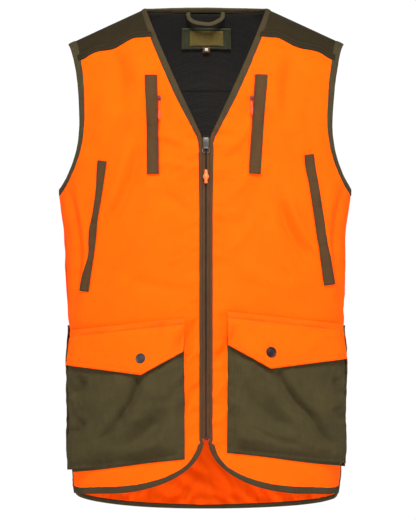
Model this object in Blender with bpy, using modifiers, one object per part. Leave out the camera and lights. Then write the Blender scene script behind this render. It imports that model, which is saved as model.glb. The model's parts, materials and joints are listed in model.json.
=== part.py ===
"""Blaze orange field waistcoat, men's size M, as an assembly of separate sewn and fitted pieces.

Every cloth piece is a flat pattern laid on one body form. A pattern point is (theta, drop):
theta runs round the body from the centre front (0) past the wearer's left side (90 degrees) to the
centre back (180), and drop is the distance below the shoulder ridge, measured down the cloth.
Dimensions are in millimetres and become metres as each object is made. +Z is up, -Y is the front,
+X is the wearer's left, and the origin is under the middle of the body at the lowest point of the hem.
"""

import math

import bmesh
import bpy
from mathutils import Matrix, Vector
from mathutils.geometry import delaunay_2d_cdt

MM = 0.001
QUARTER = math.pi / 2
SIDES = (("left", 1), ("right", -1))

# Body form, whose side seams lie behind the origin by FORM_Y
FORM_Y = 11.31
NECK_Z = 750.0
NECK_HALF = 90.0
NECK_SOFTNESS = 28.0
SHOULDER_SLOPE = 0.47
ROLL = 150.0
ROLL_SHARPNESS = 1.2
FRONT_DEPTH = 118.0
WIDTH_STATIONS = (
    (0, 193), (60, 199), (150, 201), (270, 203), (330, 207), (400, 209.5), (480, 218.5), (700, 225),
)
BACK_DEPTH_STATIONS = ((0, 98), (320, 90), (560, 102), (750, 100))

# Cloth edges and seams
ZIP_TOP_Z = 556.0
ZIP_BOTTOM_Z = 106.0
CENTRE_EDGE = 5.4
NECK_TAPE = 10.0
CENTRE_TAPE = 4.8
HEM_TAPE = 8.0
BACK_HEM_TAPE = 6.0
ARM_TAPE = 11.5
HEM_CORNER = (150.0, 147.0, 82.0)
SIDE_HEM_Z = 26.0
FRONT_HEM_DIP = 23.0
ARM_WAIST_Z = 585.0
ARM_WAIST = math.radians(58.5)
ARMPIT_Z = 480.0
ARM_TIP = math.radians(64.8)
ARM_TIP_Z = 696.0
YOKE_SEAM = (86.0, 708.0, 190.0, 675.0)
YOKE_SEAM_SAG = 1.3
BACK_SEAM_Z = 668.0
LINING_SEAM_Z = 632.0
LINING_MARGIN = 5.0
BACK_LINING_HEM_Z = 205.0
NECK_ARCH = 3.0
SEAM_GAP = 0.8
SIDE_GAP = math.radians(0.55)
RIDGE_GAP = 4.5

# Layers, measured outwards from the form, and their thicknesses
SHELL = (0.0, 1.6)
TAPE = (0.0, 3.0)
LINING = (-9.0, 1.0)
CHEST_BAG = (-3.9, 0.8)
HAND_BAG = (-6.4, 0.8)
CHEST_ZIP = (2.3, 0.8)
CHEST_WELT = (4.6, 1.6)
HAND_WELT = (3.4, 1.6)
LABEL_PATCH = (-12.6, 1.0)
LABEL_INSERT = (-14.4, 0.8)
SIZE_TAG = (-16.0, 0.8)
POCKET = (3.0, 1.6)
FLAP_CLEAR = 5.4
FLAP_THICK = 2.2
POCKET_BULGE = 12.0
POCKET_RAMP = 26.0
MOUTH_RAMP = 75.0

# Chest and hand pockets, as (x, z) of the ends of each welt in the front view. The hand pockets and the
# lower pockets hang higher on the wearer's left, and lower on the right, by RISE. The foot of each chest
# pocket is nearer the zip on the wearer's left, and further on the right, by CHEST_LEAN.
RISE = 4.8
CHEST_TOP = (81.7, 649.0)
CHEST_BOTTOM = (76.0, 502.0)
CHEST_LEAN = 3.1
CHEST_WELT_WIDTH = 16.8
HAND_TOP = (154.0, 526.5)
HAND_BOTTOM = (181.4, 331.5)
HAND_WELT_WIDTH = 14.0

# Lower pockets
FLAP_TOP = ((31.0, 292.0), (201.5, 273.0))
FLAP_EDGE = ((33.0, 242.0), (91.0, 207.0), (201.5, 222.0))
POCKET_BOTTOM = ((31.5, 81.0), (197.5, 64.0))
POCKET_MOUTH = 14.0
SNAP = (91.5, 230.0)
SNAP_RADIUS = 7.8
GAME_POCKET_Z = (64.0, 276.0)
GAME_POCKET_SIDE = math.radians(93.0)
GAME_BULGE = 10.0

# Main zip, measured from the form's front plane at the centre
COIL_GAP = 1.2
COIL_WIDTH = 2.2
COIL_BEHIND = 1.3
COIL_THICK = 2.4
ZIP_TAPE_WIDTH = 13.5
SLIDER_Z = 548.0
SLIDER_HALF = 4.6
SLIDER_LENGTH = 16.0
PULL_PIVOT_Z = 549.0
PULL_LENGTH = 17.0
CORD_LENGTH = 28.0
TOGGLE_LENGTH = 20.0

# Chest zip slider: its top when closed
CHEST_SLIDER_Z = 616.0
CHEST_TRAVEL_END_Z = 518.0

# Neck fittings
LABEL_SIZE = (75.0, 34.0)
LABEL_Z = 712.5
HANGER_HALF = 25.0
HANGER_DROOP = 13.0
HANGER_WIDTH = 5.0

CLOTH_STEP = 27.0
POCKET_STEP = 20.0
FLAP_STEP = 15.0
ROW_STRETCH = 1.8
ROUND_STEPS = 20
ARC = 180.0  # millimetres for each radian of theta, when a pattern is laid flat


# ---------------------------------------------------------------- scene and materials


def clear_scene():
    for obj in list(bpy.data.objects):
        bpy.data.objects.remove(obj)


def new_collection(name):
    made = bpy.data.collections.new(name)
    bpy.context.scene.collection.children.link(made)
    return made


def material(name, colour, roughness, metallic=0.0):
    made = bpy.data.materials.new(name)
    made.use_nodes = True
    shader = made.node_tree.nodes["Principled BSDF"]
    shader.inputs["Base Color"].default_value = (*colour, 1.0)
    shader.inputs["Roughness"].default_value = roughness
    shader.inputs["Metallic"].default_value = metallic
    return made


clear_scene()
VEST = new_collection("field_waistcoat")
JOINING_BLOCKS = new_collection("joining_blocks")
ORANGE = material("blaze_orange_cloth", (1.0, 0.16, 0.005), 0.75)
OLIVE = material("olive_cloth", (0.085, 0.07, 0.035), 0.85)
BROWN = material("brown_tape", (0.12, 0.07, 0.03), 0.8)
MESH = material("dark_mesh", (0.022, 0.02, 0.018), 0.9)
COIL = material("dark_coil", (0.02, 0.015, 0.012), 0.5)
METAL = material("gunmetal", (0.18, 0.17, 0.16), 0.35, 1.0)
TOGGLE = material("orange_toggle", (1.0, 0.12, 0.02), 0.45)
LABEL = material("khaki_label", (0.2, 0.13, 0.05), 0.8)


# ---------------------------------------------------------------- body form


def smooth(t):
    t = min(1.0, max(0.0, t))
    return t * t * (3 - 2 * t)


def between(stations, z):
    """A smooth value between (z, value) stations."""
    if z <= stations[0][0]:
        return stations[0][1]
    for (z0, v0), (z1, v1) in zip(stations, stations[1:]):
        if z <= z1:
            return v0 + (v1 - v0) * smooth((z - z0) / (z1 - z0))
    return stations[-1][1]


def half_width(z):
    return between(WIDTH_STATIONS, z)


def ridge_z(x):
    return NECK_Z - SHOULDER_SLOPE * (math.hypot(x, NECK_SOFTNESS) - math.hypot(NECK_HALF, NECK_SOFTNESS))


def drop_to_z(x, drop):
    if drop < ROLL * QUARTER:
        return ridge_z(x) - ROLL * (1 - math.cos(drop / ROLL))
    return ridge_z(x) - ROLL - (drop - ROLL * QUARTER)


def z_to_drop(x, z):
    below = max(0.0, ridge_z(x) - z)
    if below < ROLL:
        return ROLL * math.acos(1 - below / ROLL)
    return ROLL * QUARTER + below - ROLL


def at_angle(theta, z):
    """The pattern point at an angle round the body and a height."""
    return theta, z_to_drop(half_width(z) * math.sin(theta), z)


def at_front(x, z):
    """The pattern point seen at (x, z) from the front."""
    ratio = max(-1.0, min(1.0, x / half_width(z)))
    return math.asin(ratio), z_to_drop(x, z)


def at_back(x, z):
    theta, drop = at_front(x, z)
    return math.pi - theta, drop


def on_form(theta, drop):
    z = ARMPIT_Z
    for _ in range(8):
        x = half_width(z) * math.sin(theta)
        z = drop_to_z(x, drop)
    depth = FRONT_DEPTH if math.cos(theta) > 0 else between(BACK_DEPTH_STATIONS, z)
    bend = math.sin(min(max(drop, 0.0) / ROLL, QUARTER)) ** ROLL_SHARPNESS
    return Vector((x, FORM_Y - depth * math.cos(theta) * bend, z))


def tangents(theta, drop):
    step = 0.002
    run = 0.5
    low = max(drop - run, 0.5)
    along = (on_form(theta + step, drop) - on_form(theta - step, drop)) / (2 * step)
    down = (on_form(theta, low + 2 * run) - on_form(theta, low)) / (2 * run)
    return along, down


def outward(theta, drop):
    along, down = tangents(theta, drop)
    return down.cross(along).normalized()


def lifted(theta, drop, lift):
    return on_form(theta, drop) + outward(theta, drop) * lift


# ---------------------------------------------------------------- pattern pieces


def seen(point):
    """(x, z) of a pattern point in the front view."""
    place = on_form(*point)
    return place.x, place.z


def mirrored(path, side):
    return [(side * theta, drop) for theta, drop in path]


def hung(path, side):
    """A pocket's path put on one side, with the rise of that side."""
    return [(side * theta, drop - side * RISE) for theta, drop in path]


def unhung(theta, drop):
    side = math.copysign(1, theta)
    return abs(theta), drop + side * RISE


def inset(path, widths):
    """The path moved over the cloth, to the left of its direction, by one width or one at each point."""
    if isinstance(widths, float):
        widths = [widths] * len(path)
    made = []
    for i, (theta, drop) in enumerate(path):
        before = path[max(i - 1, 0)]
        after = path[min(i + 1, len(path) - 1)]
        along, down = tangents(theta, drop)
        run = along * (after[0] - before[0]) + down * (after[1] - before[1])
        sideways = outward(theta, drop).cross(run.normalized()) * widths[i]
        made.append(
            (
                theta + sideways.dot(along) / along.length_squared,
                max(drop + sideways.dot(down) / down.length_squared, RIDGE_GAP),
            )
        )
    return made


def resampled(outline, step):
    """The closed outline with no side longer than the step."""
    made = []
    for (a0, d0), (a1, d1) in zip(outline, outline[1:] + outline[:1]):
        length = math.hypot((a1 - a0) * ARC, d1 - d0)
        if length < 0.05:
            continue
        parts = max(1, math.ceil(length / step))
        made += [(a0 + (a1 - a0) * k / parts, d0 + (d1 - d0) * k / parts) for k in range(parts)]
    return made


def edge_distance(x, y, flat):
    """(inside, distance to the nearest side) of a point and a closed flat outline."""
    inside = False
    nearest = 1e9
    for (x0, y0), (x1, y1) in zip(flat, flat[1:] + flat[:1]):
        if (y0 > y) != (y1 > y) and x < x0 + (x1 - x0) * (y - y0) / (y1 - y0):
            inside = not inside
        dx, dy = x1 - x0, y1 - y0
        t = max(0.0, min(1.0, ((x - x0) * dx + (y - y0) * dy) / max(dx * dx + dy * dy, 1e-9)))
        nearest = min(nearest, math.hypot(x - x0 - t * dx, y - y0 - t * dy))
    return inside, nearest


def triangulated(outline, step, tall):
    """Vertices and triangles of a flat pattern, with rows of points inside it set wider apart downwards."""
    outline = [(theta, drop / tall) for theta, drop in outline]
    flat = [(theta * ARC, drop) for theta, drop in resampled(outline, step)]
    points = [Vector(p) for p in flat]
    edges = [(i, (i + 1) % len(flat)) for i in range(len(flat))]
    low = [min(p[k] for p in flat) for k in (0, 1)]
    high = [max(p[k] for p in flat) for k in (0, 1)]
    row_height = step * math.sqrt(3) / 2
    for row in range(1, int((high[1] - low[1]) / row_height) + 1):
        y = low[1] + row * row_height
        for column in range(int((high[0] - low[0]) / step) + 2):
            x = low[0] + (column + 0.5 * (row % 2)) * step
            inside, nearest = edge_distance(x, y, flat)
            if inside and nearest > 0.55 * step:
                points.append(Vector((x, y)))
    vertices, _, faces, *_ = delaunay_2d_cdt(points, edges, [], 1, 1e-4)
    return [(v.x / ARC, v.y * tall) for v in vertices], faces


def add_object(name, mesh, finish):
    mesh.materials.append(finish)
    made = bpy.data.objects.new(name, mesh)
    VEST.objects.link(made)
    return made


def cloth(name, outline, layer, finish, step=CLOTH_STEP, lift=None):
    """A pattern laid on the form as a sheet, given its thickness by Solidify."""
    points, faces = triangulated(outline, step, ROW_STRETCH if step == CLOTH_STEP else 1.0)
    heights = [layer[0] if lift is None else lift(*p) for p in points]
    mesh = bpy.data.meshes.new(name)
    mesh.from_pydata(
        [lifted(*p, height) * MM for p, height in zip(points, heights)],
        [],
        [tuple(reversed(face)) for face in faces],
    )
    made = add_object(name, mesh, finish)
    shell = made.modifiers.new("thickness", "SOLIDIFY")
    shell.thickness = layer[1] * MM
    shell.offset = 0.0
    return made


def tape(name, path, widths, layer, finish, step=CLOTH_STEP):
    return cloth(name, path + inset(path, widths)[::-1], layer, finish, step)


# ---------------------------------------------------------------- solid pieces


def mesh_object(name, bm, finish, matrix=Matrix.Identity(4)):
    bmesh.ops.recalc_face_normals(bm, faces=bm.faces)
    mesh = bpy.data.meshes.new(name)
    bm.to_mesh(mesh)
    bm.free()
    mesh.transform(Matrix.Diagonal((MM, MM, MM, 1.0)) @ matrix)
    return add_object(name, mesh, finish)


def add_box(bm, low, high):
    """A box between two corners."""
    size = [b - a for a, b in zip(low, high)]
    middle = [(a + b) / 2 for a, b in zip(low, high)]
    place = Matrix.Translation(middle) @ Matrix.Diagonal((*size, 1.0))
    bmesh.ops.create_cube(bm, size=1.0, matrix=place)


def box(name, low, high, finish, matrix=Matrix.Identity(4), bevel=0.0):
    bm = bmesh.new()
    add_box(bm, low, high)
    if bevel:
        bmesh.ops.bevel(bm, geom=bm.edges[:], offset=bevel, segments=1, affect="EDGES")
    return mesh_object(name, bm, finish, matrix)


def joined(name, boxes, finish):
    """Overlapping boxes made one body with Boolean unions."""
    made = box(name, *boxes[0], finish)
    for number, (low, high) in enumerate(boxes[1:]):
        other = box(f"{name}_block_{number}", low, high, finish)
        union = made.modifiers.new("join", "BOOLEAN")
        union.operation = "UNION"
        union.object = other
        other.hide_render = True
        other.display_type = "WIRE"
        VEST.objects.unlink(other)
        JOINING_BLOCKS.objects.link(other)
    return made


def turned(name, profile, finish, matrix):
    """A turned piece: (radius, height) points from the top of the outer side round to the axis."""
    bm = bmesh.new()
    points = [bm.verts.new((radius, 0.0, height)) for radius, height in profile]
    for a, b in zip(points, points[1:]):
        bm.edges.new((a, b))
    mesh = bpy.data.meshes.new(name)
    bm.to_mesh(mesh)
    bm.free()
    mesh.transform(Matrix.Diagonal((MM, MM, MM, 1.0)))
    made = add_object(name, mesh, finish)
    made.matrix_world = Matrix.Translation(matrix.translation * MM) @ matrix.to_3x3().to_4x4()
    screw = made.modifiers.new("turn", "SCREW")
    screw.steps = screw.render_steps = ROUND_STEPS
    screw.use_smooth_shade = True
    screw.use_merge_vertices = True
    screw.merge_threshold = 0.00001
    return made


def facing(theta, drop, lift):
    """A frame on the cloth: its z axis points outwards and its y axis up the cloth."""
    normal = outward(theta, drop)
    _, down = tangents(theta, drop)
    up = (-down).normalized()
    frame = Matrix((up.cross(normal), up, normal)).transposed().to_4x4()
    frame.translation = lifted(theta, drop, lift)
    return frame


def wire(name, points, radius, finish):
    """A round cord through points, with filled ends."""
    curve = bpy.data.curves.new(name, "CURVE")
    curve.dimensions = "3D"
    curve.bevel_depth = radius * MM
    curve.bevel_resolution = 1
    curve.use_fill_caps = True
    spline = curve.splines.new("POLY")
    spline.points.add(len(points) - 1)
    for point, place in zip(spline.points, points):
        point.co = (*(Vector(place) * MM), 1.0)
    curve.materials.append(finish)
    made = bpy.data.objects.new(name, curve)
    VEST.objects.link(made)
    return made


def plate(name, outlines, thickness, finish, matrix):
    """A flat plate cut to its outlines, the first being the outer one and the others holes."""
    curve = bpy.data.curves.new(name, "CURVE")
    curve.dimensions = "2D"
    curve.fill_mode = "BOTH"
    curve.extrude = thickness / 2 * MM
    for outline in outlines:
        spline = curve.splines.new("POLY")
        spline.points.add(len(outline) - 1)
        for point, (x, y) in zip(spline.points, outline):
            point.co = (x * MM, y * MM, 0.0, 1.0)
        spline.use_cyclic_u = True
    curve.materials.append(finish)
    made = bpy.data.objects.new(name, curve)
    VEST.objects.link(made)
    made.matrix_world = Matrix.Translation(matrix.translation * MM) @ matrix.to_3x3().to_4x4()
    return made


# ---------------------------------------------------------------- seams and edges


def steps(start, end, count):
    return [start + (end - start) * k / (count - 1) for k in range(count)]


def front_edge():
    """The front's free edge: down the neck and the centre, then round the hem to the side seam."""
    neck_run = NECK_HALF - CENTRE_EDGE
    neck_rise = NECK_Z - ZIP_TOP_Z
    path = []
    widths = []
    for t in steps(0.02, 0.97, 13):
        path.append(at_front(NECK_HALF - neck_run * t**1.6, NECK_Z - neck_rise * t**1.6))
        widths.append(NECK_TAPE)
    for z in steps(ZIP_TOP_Z - 12, ZIP_BOTTOM_Z - 1.9, 18):
        path.append(at_front(CENTRE_EDGE, z))
        widths.append(CENTRE_TAPE)
    middle, radius_x, radius_z = HEM_CORNER
    for angle in steps(math.radians(2.9), QUARTER, 11):
        path.append(at_front(middle - radius_x * math.cos(angle), ZIP_BOTTOM_Z - radius_z * math.sin(angle)))
        widths.append(CENTRE_TAPE + (HEM_TAPE - CENTRE_TAPE) * smooth(2 * angle))
    start = path[-1][0]
    corner_z = ZIP_BOTTOM_Z - radius_z
    for theta in steps(start, QUARTER - SIDE_GAP, 9)[1:]:
        share = (theta - start) / (QUARTER - start)
        z = corner_z + (FRONT_HEM_DIP - corner_z) * smooth(share * 1.8)
        z += (SIDE_HEM_Z - FRONT_HEM_DIP) * smooth(share * 2 - 1)
        path.append(at_angle(theta, z))
        widths.append(HEM_TAPE)
    return path, widths


def armhole(count=15):
    """The front edge of the armhole, from the armpit up to the tip of the shoulder."""
    path = []
    for angle in steps(math.radians(2), QUARTER, count // 2 + 1):
        theta = QUARTER - SIDE_GAP - (QUARTER - ARM_WAIST) * math.sin(angle)
        path.append(at_angle(theta, ARM_WAIST_Z - (ARM_WAIST_Z - ARMPIT_Z) * math.cos(angle)))
    for t in steps(0.15, 1.0, count // 2 + 1):
        theta = ARM_WAIST + (ARM_TIP - ARM_WAIST) * t * t
        path.append(at_angle(theta, ARM_WAIST_Z + (ARM_TIP_Z - ARM_WAIST_Z) * (1 - (1 - t) ** 1.4)))
    return [(theta, max(drop, RIDGE_GAP)) for theta, drop in path]


def yoke_seam_z(x):
    x0, z0, x1, z1 = YOKE_SEAM
    return z0 + (z1 - z0) * max(0.0, (abs(x) - x0) / (x1 - x0)) ** YOKE_SEAM_SAG


def cut_at(path, seam_z, gap):
    """(above, below): the path split where it crosses a seam, each part ending half a gap from it."""

    def height(point):
        x, z = seen(point)
        return z - seam_z(x)

    above = [p for p in path if height(p) > gap]
    below = [p for p in path if height(p) < -gap]
    for p, q in zip(path, path[1:]):
        hp, hq = height(p), height(q)
        if (hp > 0) == (hq > 0):
            continue
        for part, level in ((above, gap / 2), (below, -gap / 2)):
            t = (level - hp) / (hq - hp)
            crossing = (p[0] + (q[0] - p[0]) * t, p[1] + (q[1] - p[1]) * t)
            if hp > 0:
                part.append(crossing) if part is above else part.insert(0, crossing)
            else:
                part.insert(0, crossing) if part is above else part.append(crossing)
    return above, below


def along_seam(start, end, seam_z, shift, place):
    """Points along a seam between two pattern points, moved down by a shift."""
    x0, x1 = seen(start)[0], seen(end)[0]
    return [place(x, seam_z(x) + shift) for x in steps(x0, x1, 9)[1:-1]]


def front_outline(margin, seam_shift):
    """The front panel inside its tapes, from the yoke seam down."""
    edge, widths = front_edge()
    neck = inset(edge, [w + SEAM_GAP + margin for w in widths])
    arm = inset(armhole(), ARM_TAPE + SEAM_GAP + margin)
    _, neck = cut_at(neck, lambda x: yoke_seam_z(x) - seam_shift, SEAM_GAP)
    _, arm = cut_at(arm, lambda x: yoke_seam_z(x) - seam_shift, SEAM_GAP)
    seam = along_seam(arm[-1], neck[0], yoke_seam_z, -seam_shift - SEAM_GAP / 2, at_front)
    return neck + arm + seam


def back_hem():
    """The back hem from the wearer's left side seam to the right."""
    path = []
    for theta in steps(QUARTER + SIDE_GAP, 3 * QUARTER - SIDE_GAP, 25):
        path.append(at_angle(theta, SIDE_HEM_Z * (1 - abs(math.cos(theta)))))
    return path


def back_neck():
    """The neck edge across the back, from the wearer's left to the right."""
    path = []
    for t in steps(-1.0, 1.0, 17):
        x = -NECK_HALF * 0.995 * math.copysign(abs(t) ** 0.55, t)
        path.append(at_back(x, NECK_Z + NECK_ARCH * (1 - (x / NECK_HALF) ** 2)))
    return [(theta, max(drop, RIDGE_GAP)) for theta, drop in path]


def to_back(path):
    return [(math.pi - theta, drop) for theta, drop in path]


# ---------------------------------------------------------------- pivots


def pivot(name, place, parent=None):
    """An empty on a joint's axis; the pieces that move with the joint are its children."""
    made = bpy.data.objects.new(name, None)
    VEST.objects.link(made)
    made.empty_display_size = 0.01
    made.location = Vector(place) * MM
    bpy.context.view_layer.update()
    if parent is not None:
        attach(parent, made)
    return made


def attach(parent, *pieces):
    bpy.context.view_layer.update()
    for piece in pieces:
        world = piece.matrix_world.copy()
        piece.parent = parent
        piece.matrix_parent_inverse = parent.matrix_world.inverted()
        piece.matrix_world = world


# ---------------------------------------------------------------- fronts


def front_pieces(label, side):
    """The front panel, its lining and the tapes round it."""
    edge, widths = front_edge()
    edge = mirrored(edge, side)
    arm = mirrored(armhole(), side)
    edge_widths = [side * w for w in widths]
    lining = mirrored(front_outline(LINING_MARGIN, LINING_MARGIN), side)
    return (
        cloth(f"front_panel_{label}", mirrored(front_outline(0, 0), side), SHELL, ORANGE),
        cloth(f"front_lining_{label}", lining, LINING, MESH),
        tape(f"front_binding_{label}", edge, edge_widths, TAPE, BROWN),
        tape(f"armhole_binding_front_{label}", arm, side * ARM_TAPE, TAPE, OLIVE),
    )


def yoke(label, side):
    edge, widths = front_edge()
    neck, _ = cut_at(inset(edge, [w + SEAM_GAP for w in widths]), yoke_seam_z, SEAM_GAP)
    arm, _ = cut_at(inset(armhole(), ARM_TAPE + SEAM_GAP), yoke_seam_z, SEAM_GAP)
    seam = along_seam(neck[-1], arm[0], yoke_seam_z, SEAM_GAP / 2, at_front)
    ridge = [(theta, RIDGE_GAP) for theta in steps(arm[-1][0], neck[0][0], 6)[1:-1]]
    outline = mirrored(neck + seam + arm + ridge, side)
    return cloth(f"shoulder_yoke_{label}", outline, SHELL, OLIVE)


def strip_outline(top, bottom, width, shift=0.0):
    """A straight strip in the front view between two (x, z) ends, moved sideways by a shift."""
    run = Vector((top[0] - bottom[0], top[1] - bottom[1])).normalized()
    across = Vector((run.y, -run.x))
    low, high = Vector(bottom), Vector(top)
    corners = (
        low + across * (shift - width / 2),
        high + across * (shift - width / 2),
        high + across * (shift + width / 2),
        low + across * (shift + width / 2),
    )
    return [at_front(*corner) for corner in corners]


def chest_foot(side):
    return CHEST_BOTTOM[0] - side * CHEST_LEAN, CHEST_BOTTOM[1]


def chest_pocket(label, side):
    """A chest pocket: the bag behind the panel, its zip and the welt that covers the zip."""
    foot = chest_foot(side)
    zip_line = strip_outline(CHEST_TOP, foot, 11.0, -CHEST_WELT_WIDTH / 2 - 2.5)
    welt_line = strip_outline(CHEST_TOP, foot, CHEST_WELT_WIDTH)
    bag_top = (CHEST_TOP[0] + 14, CHEST_TOP[1] - 16)
    bag_bottom = (foot[0] + 14, foot[1] - 28)
    bag_line = strip_outline(bag_top, bag_bottom, 78.0)
    return (
        cloth(f"chest_pocket_bag_{label}", mirrored(bag_line, side), CHEST_BAG, MESH),
        cloth(f"chest_zip_{label}", mirrored(zip_line, side), CHEST_ZIP, COIL),
        cloth(f"chest_welt_{label}", mirrored(welt_line, side), CHEST_WELT, BROWN),
    )


def hand_pocket(label, side):
    welt_line = strip_outline(HAND_TOP, HAND_BOTTOM, HAND_WELT_WIDTH)
    bag_top = (HAND_TOP[0] - 28, HAND_TOP[1] - 4)
    bag_bottom = (HAND_BOTTOM[0] - 38, HAND_BOTTOM[1] - 14)
    bag_line = strip_outline(bag_top, bag_bottom, 84.0)
    return (
        cloth(f"hand_pocket_bag_{label}", hung(bag_line, side), HAND_BAG, MESH),
        cloth(f"hand_welt_{label}", hung(welt_line, side), HAND_WELT, BROWN, POCKET_STEP),
    )


def chest_slider_frame(side, z):
    """The seat of a chest zip slider, beside the welt at a height."""
    foot_x, foot_z = chest_foot(side)
    share = (z - foot_z) / (CHEST_TOP[1] - foot_z)
    x = foot_x + (CHEST_TOP[0] - foot_x) * share
    theta, drop = at_front(x - CHEST_WELT_WIDTH / 2 - 4.2, z)
    return facing(side * theta, drop, CHEST_ZIP[0])


def chest_slider(label, side):
    """The chest zip's slider and the corded puller that hangs from it."""
    seat = chest_slider_frame(side, CHEST_SLIDER_Z)
    body = box(f"chest_slider_{label}", (-3.4, -6.0, 1.9), (3.4, 4.0, 4.3), METAL, seat, 0.5)
    eye = seat @ Vector((0, -4.5, 5.6))
    hang = [eye, eye + Vector((side * -0.5, -1.2, -10)), eye + Vector((side * -0.8, -1.6, -20))]
    cord = wire(f"chest_puller_{label}", hang + [hang[-1] + Vector((0, -0.2, -14))], 1.0, TOGGLE)
    slider_pivot = pivot(f"chest_slider_pivot_{label}", seat.translation)
    puller_pivot = pivot(f"chest_puller_pivot_{label}", eye, slider_pivot)
    attach(slider_pivot, body)
    attach(puller_pivot, cord)
    return slider_pivot


def across_line(ends, x):
    (x0, z0), (x1, z1) = ends
    return z0 + (z1 - z0) * (x - x0) / (x1 - x0)


def pocket_lift(theta, drop):
    """How far a lower pocket's face stands off the form, from its sides, its bottom and its mouth."""
    theta, drop = unhung(theta, drop)
    x, z = seen((theta, drop))
    side_room = min(theta - math.asin(0.15), math.radians(83) - theta) * 150
    side_ramp = smooth((side_room + 2) / POCKET_RAMP)
    bottom_ramp = smooth((z - across_line(POCKET_BOTTOM, x)) / POCKET_RAMP)
    mouth_ramp = smooth((across_line(FLAP_TOP, x) - z) / MOUTH_RAMP)
    return POCKET[0] + POCKET_BULGE * side_ramp * bottom_ramp * mouth_ramp


def cargo_pocket(label, side):
    (x0, z0), (x1, z1) = FLAP_TOP
    bottom_inner, bottom_outer = POCKET_BOTTOM
    outline = [
        at_front(x0 + 2, z0 - POCKET_MOUTH),
        at_front(*bottom_inner),
        *[at_front(x, across_line(POCKET_BOTTOM, x)) for x in steps(60, 190, 6)],
        at_front(*bottom_outer),
        at_front(x1 - 3, z1 - POCKET_MOUTH),
        *[at_front(x, across_line(FLAP_TOP, x) - POCKET_MOUTH) for x in steps(190, 60, 6)],
    ]
    return cloth(f"cargo_pocket_{label}", hung(outline, side), POCKET, OLIVE, POCKET_STEP, pocket_lift)


def flap(label, side):
    """The pointed flap over a lower pocket, with the press stud's cap and socket."""
    top = [at_front(x, across_line(FLAP_TOP, x)) for x in steps(FLAP_TOP[1][0] - 1, FLAP_TOP[0][0], 9)]
    inner, point, outer = FLAP_EDGE
    lower = [at_front(*inner)]
    lower += [at_front(x, across_line((inner, point), x)) for x in steps(inner[0], point[0], 4)[1:]]
    lower += [at_front(x, across_line((point, outer), x)) for x in steps(point[0], outer[0] - 2, 7)[1:]]

    def lift(theta, drop):
        return pocket_lift(theta, drop) + FLAP_CLEAR

    sheet = cloth(f"pocket_flap_{label}", hung(top + lower, side), (0, FLAP_THICK), ORANGE, FLAP_STEP, lift)
    cap, socket = snap_cap_and_socket(label, side)
    lid = pivot(f"flap_pivot_{label}", flap_hinge(side)[0])
    attach(lid, sheet, cap, socket)
    return lid


def snap_cap_and_socket(label, side):
    """The press stud's domed cap on the flap, and its socket on the flap's inner face."""
    seat = snap_seat(side)
    out = FLAP_CLEAR + FLAP_THICK / 2 + 1.0
    edge = SNAP_RADIUS
    rim = ((edge - 1, out + 1.3), (edge, out + 0.4), (edge, out))
    dome = ((0, out + 2.2), (4.0, out + 2.0), *rim, (0, out))
    top = FLAP_CLEAR - FLAP_THICK / 2 - 1.0
    cup = ((0, top), (5.0, top), (5.0, top - 1.2), (2.5, top - 1.2), (2.5, top - 0.3), (0, top - 0.3))
    return turned(f"snap_cap_{label}", dome, METAL, seat), turned(f"snap_socket_{label}", cup, METAL, seat)


def flap_hinge(side):
    """A point on the flap's hinge line and the line's direction: a straight line through the curved seam."""
    seam = hung([at_front(x, across_line(FLAP_TOP, x)) for x in (40, 130, 200)], side)
    inner, middle, outer = [lifted(*point, POCKET[0] + FLAP_CLEAR) for point in seam]
    return (middle + (inner + outer) / 2) / 2, (outer - inner).normalized()


def snap_seat(side):
    """The press stud's frame, square to the pocket's face at the stud."""
    ((theta, drop),) = hung([at_front(*SNAP)], side)
    aside, reach = 0.03, 5.0

    def face(turn, run):
        return lifted(theta + turn, drop + run, pocket_lift(theta + turn, drop + run))

    middle, left, right = face(0, 0), face(aside, 0), face(-aside, 0)
    upper, lower = face(0, -reach), face(0, reach)
    up = (upper - lower).normalized()
    normal = (left - right).cross(up).normalized()
    frame = Matrix((up.cross(normal), up, normal)).transposed().to_4x4()
    frame.translation = middle
    return frame


def snap_stud(label, side):
    base = POCKET[1] / 2 + 0.3
    boss = ((0, base + 1.3), (1.8, base + 1.3), (1.8, base + 0.4), (4.6, base + 0.4), (4.6, base), (0, base))
    return turned(f"snap_stud_{label}", boss, METAL, snap_seat(side))


def sided(side, low, high):
    """A box's corners, with x mirrored on the wearer's right."""
    xs = sorted((side * low[0], side * high[0]))
    return (xs[0], *low[1:]), (xs[1], *high[1:])


def zip_half(label, side):
    """One half of the main zip: its stepped tape, the coil behind the tape's edge, and its top stop."""
    front = FORM_Y - FRONT_DEPTH
    low, high = ZIP_BOTTOM_Z + 0.8, ZIP_TOP_Z
    step_x, edge_x = CENTRE_EDGE - 1.2, CENTRE_EDGE - 0.3
    strips = (
        ((COIL_GAP - 0.2, front + 0.1, low), (edge_x, front + 0.9, high)),
        ((step_x, front + 0.2, low), (edge_x, front + 2.5, high)),
        ((step_x, front + 1.8, low), (ZIP_TAPE_WIDTH, front + 2.6, high)),
    )
    coil_y, coil_x = front + COIL_BEHIND, COIL_GAP + COIL_WIDTH
    coil = sided(side, (COIL_GAP, coil_y, low + 8.6), (coil_x, coil_y + COIL_THICK, high - 2))
    stop = sided(side, (COIL_GAP, front + 0.2, high + 0.6), (coil_x, coil_y + COIL_THICK, high + 3.6))
    return (
        joined(f"zip_tape_{label}", [sided(side, *strip) for strip in strips], OLIVE),
        box(f"zip_coil_{label}", *coil, COIL),
        box(f"zip_top_stop_{label}", *stop, METAL),
    )


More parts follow.
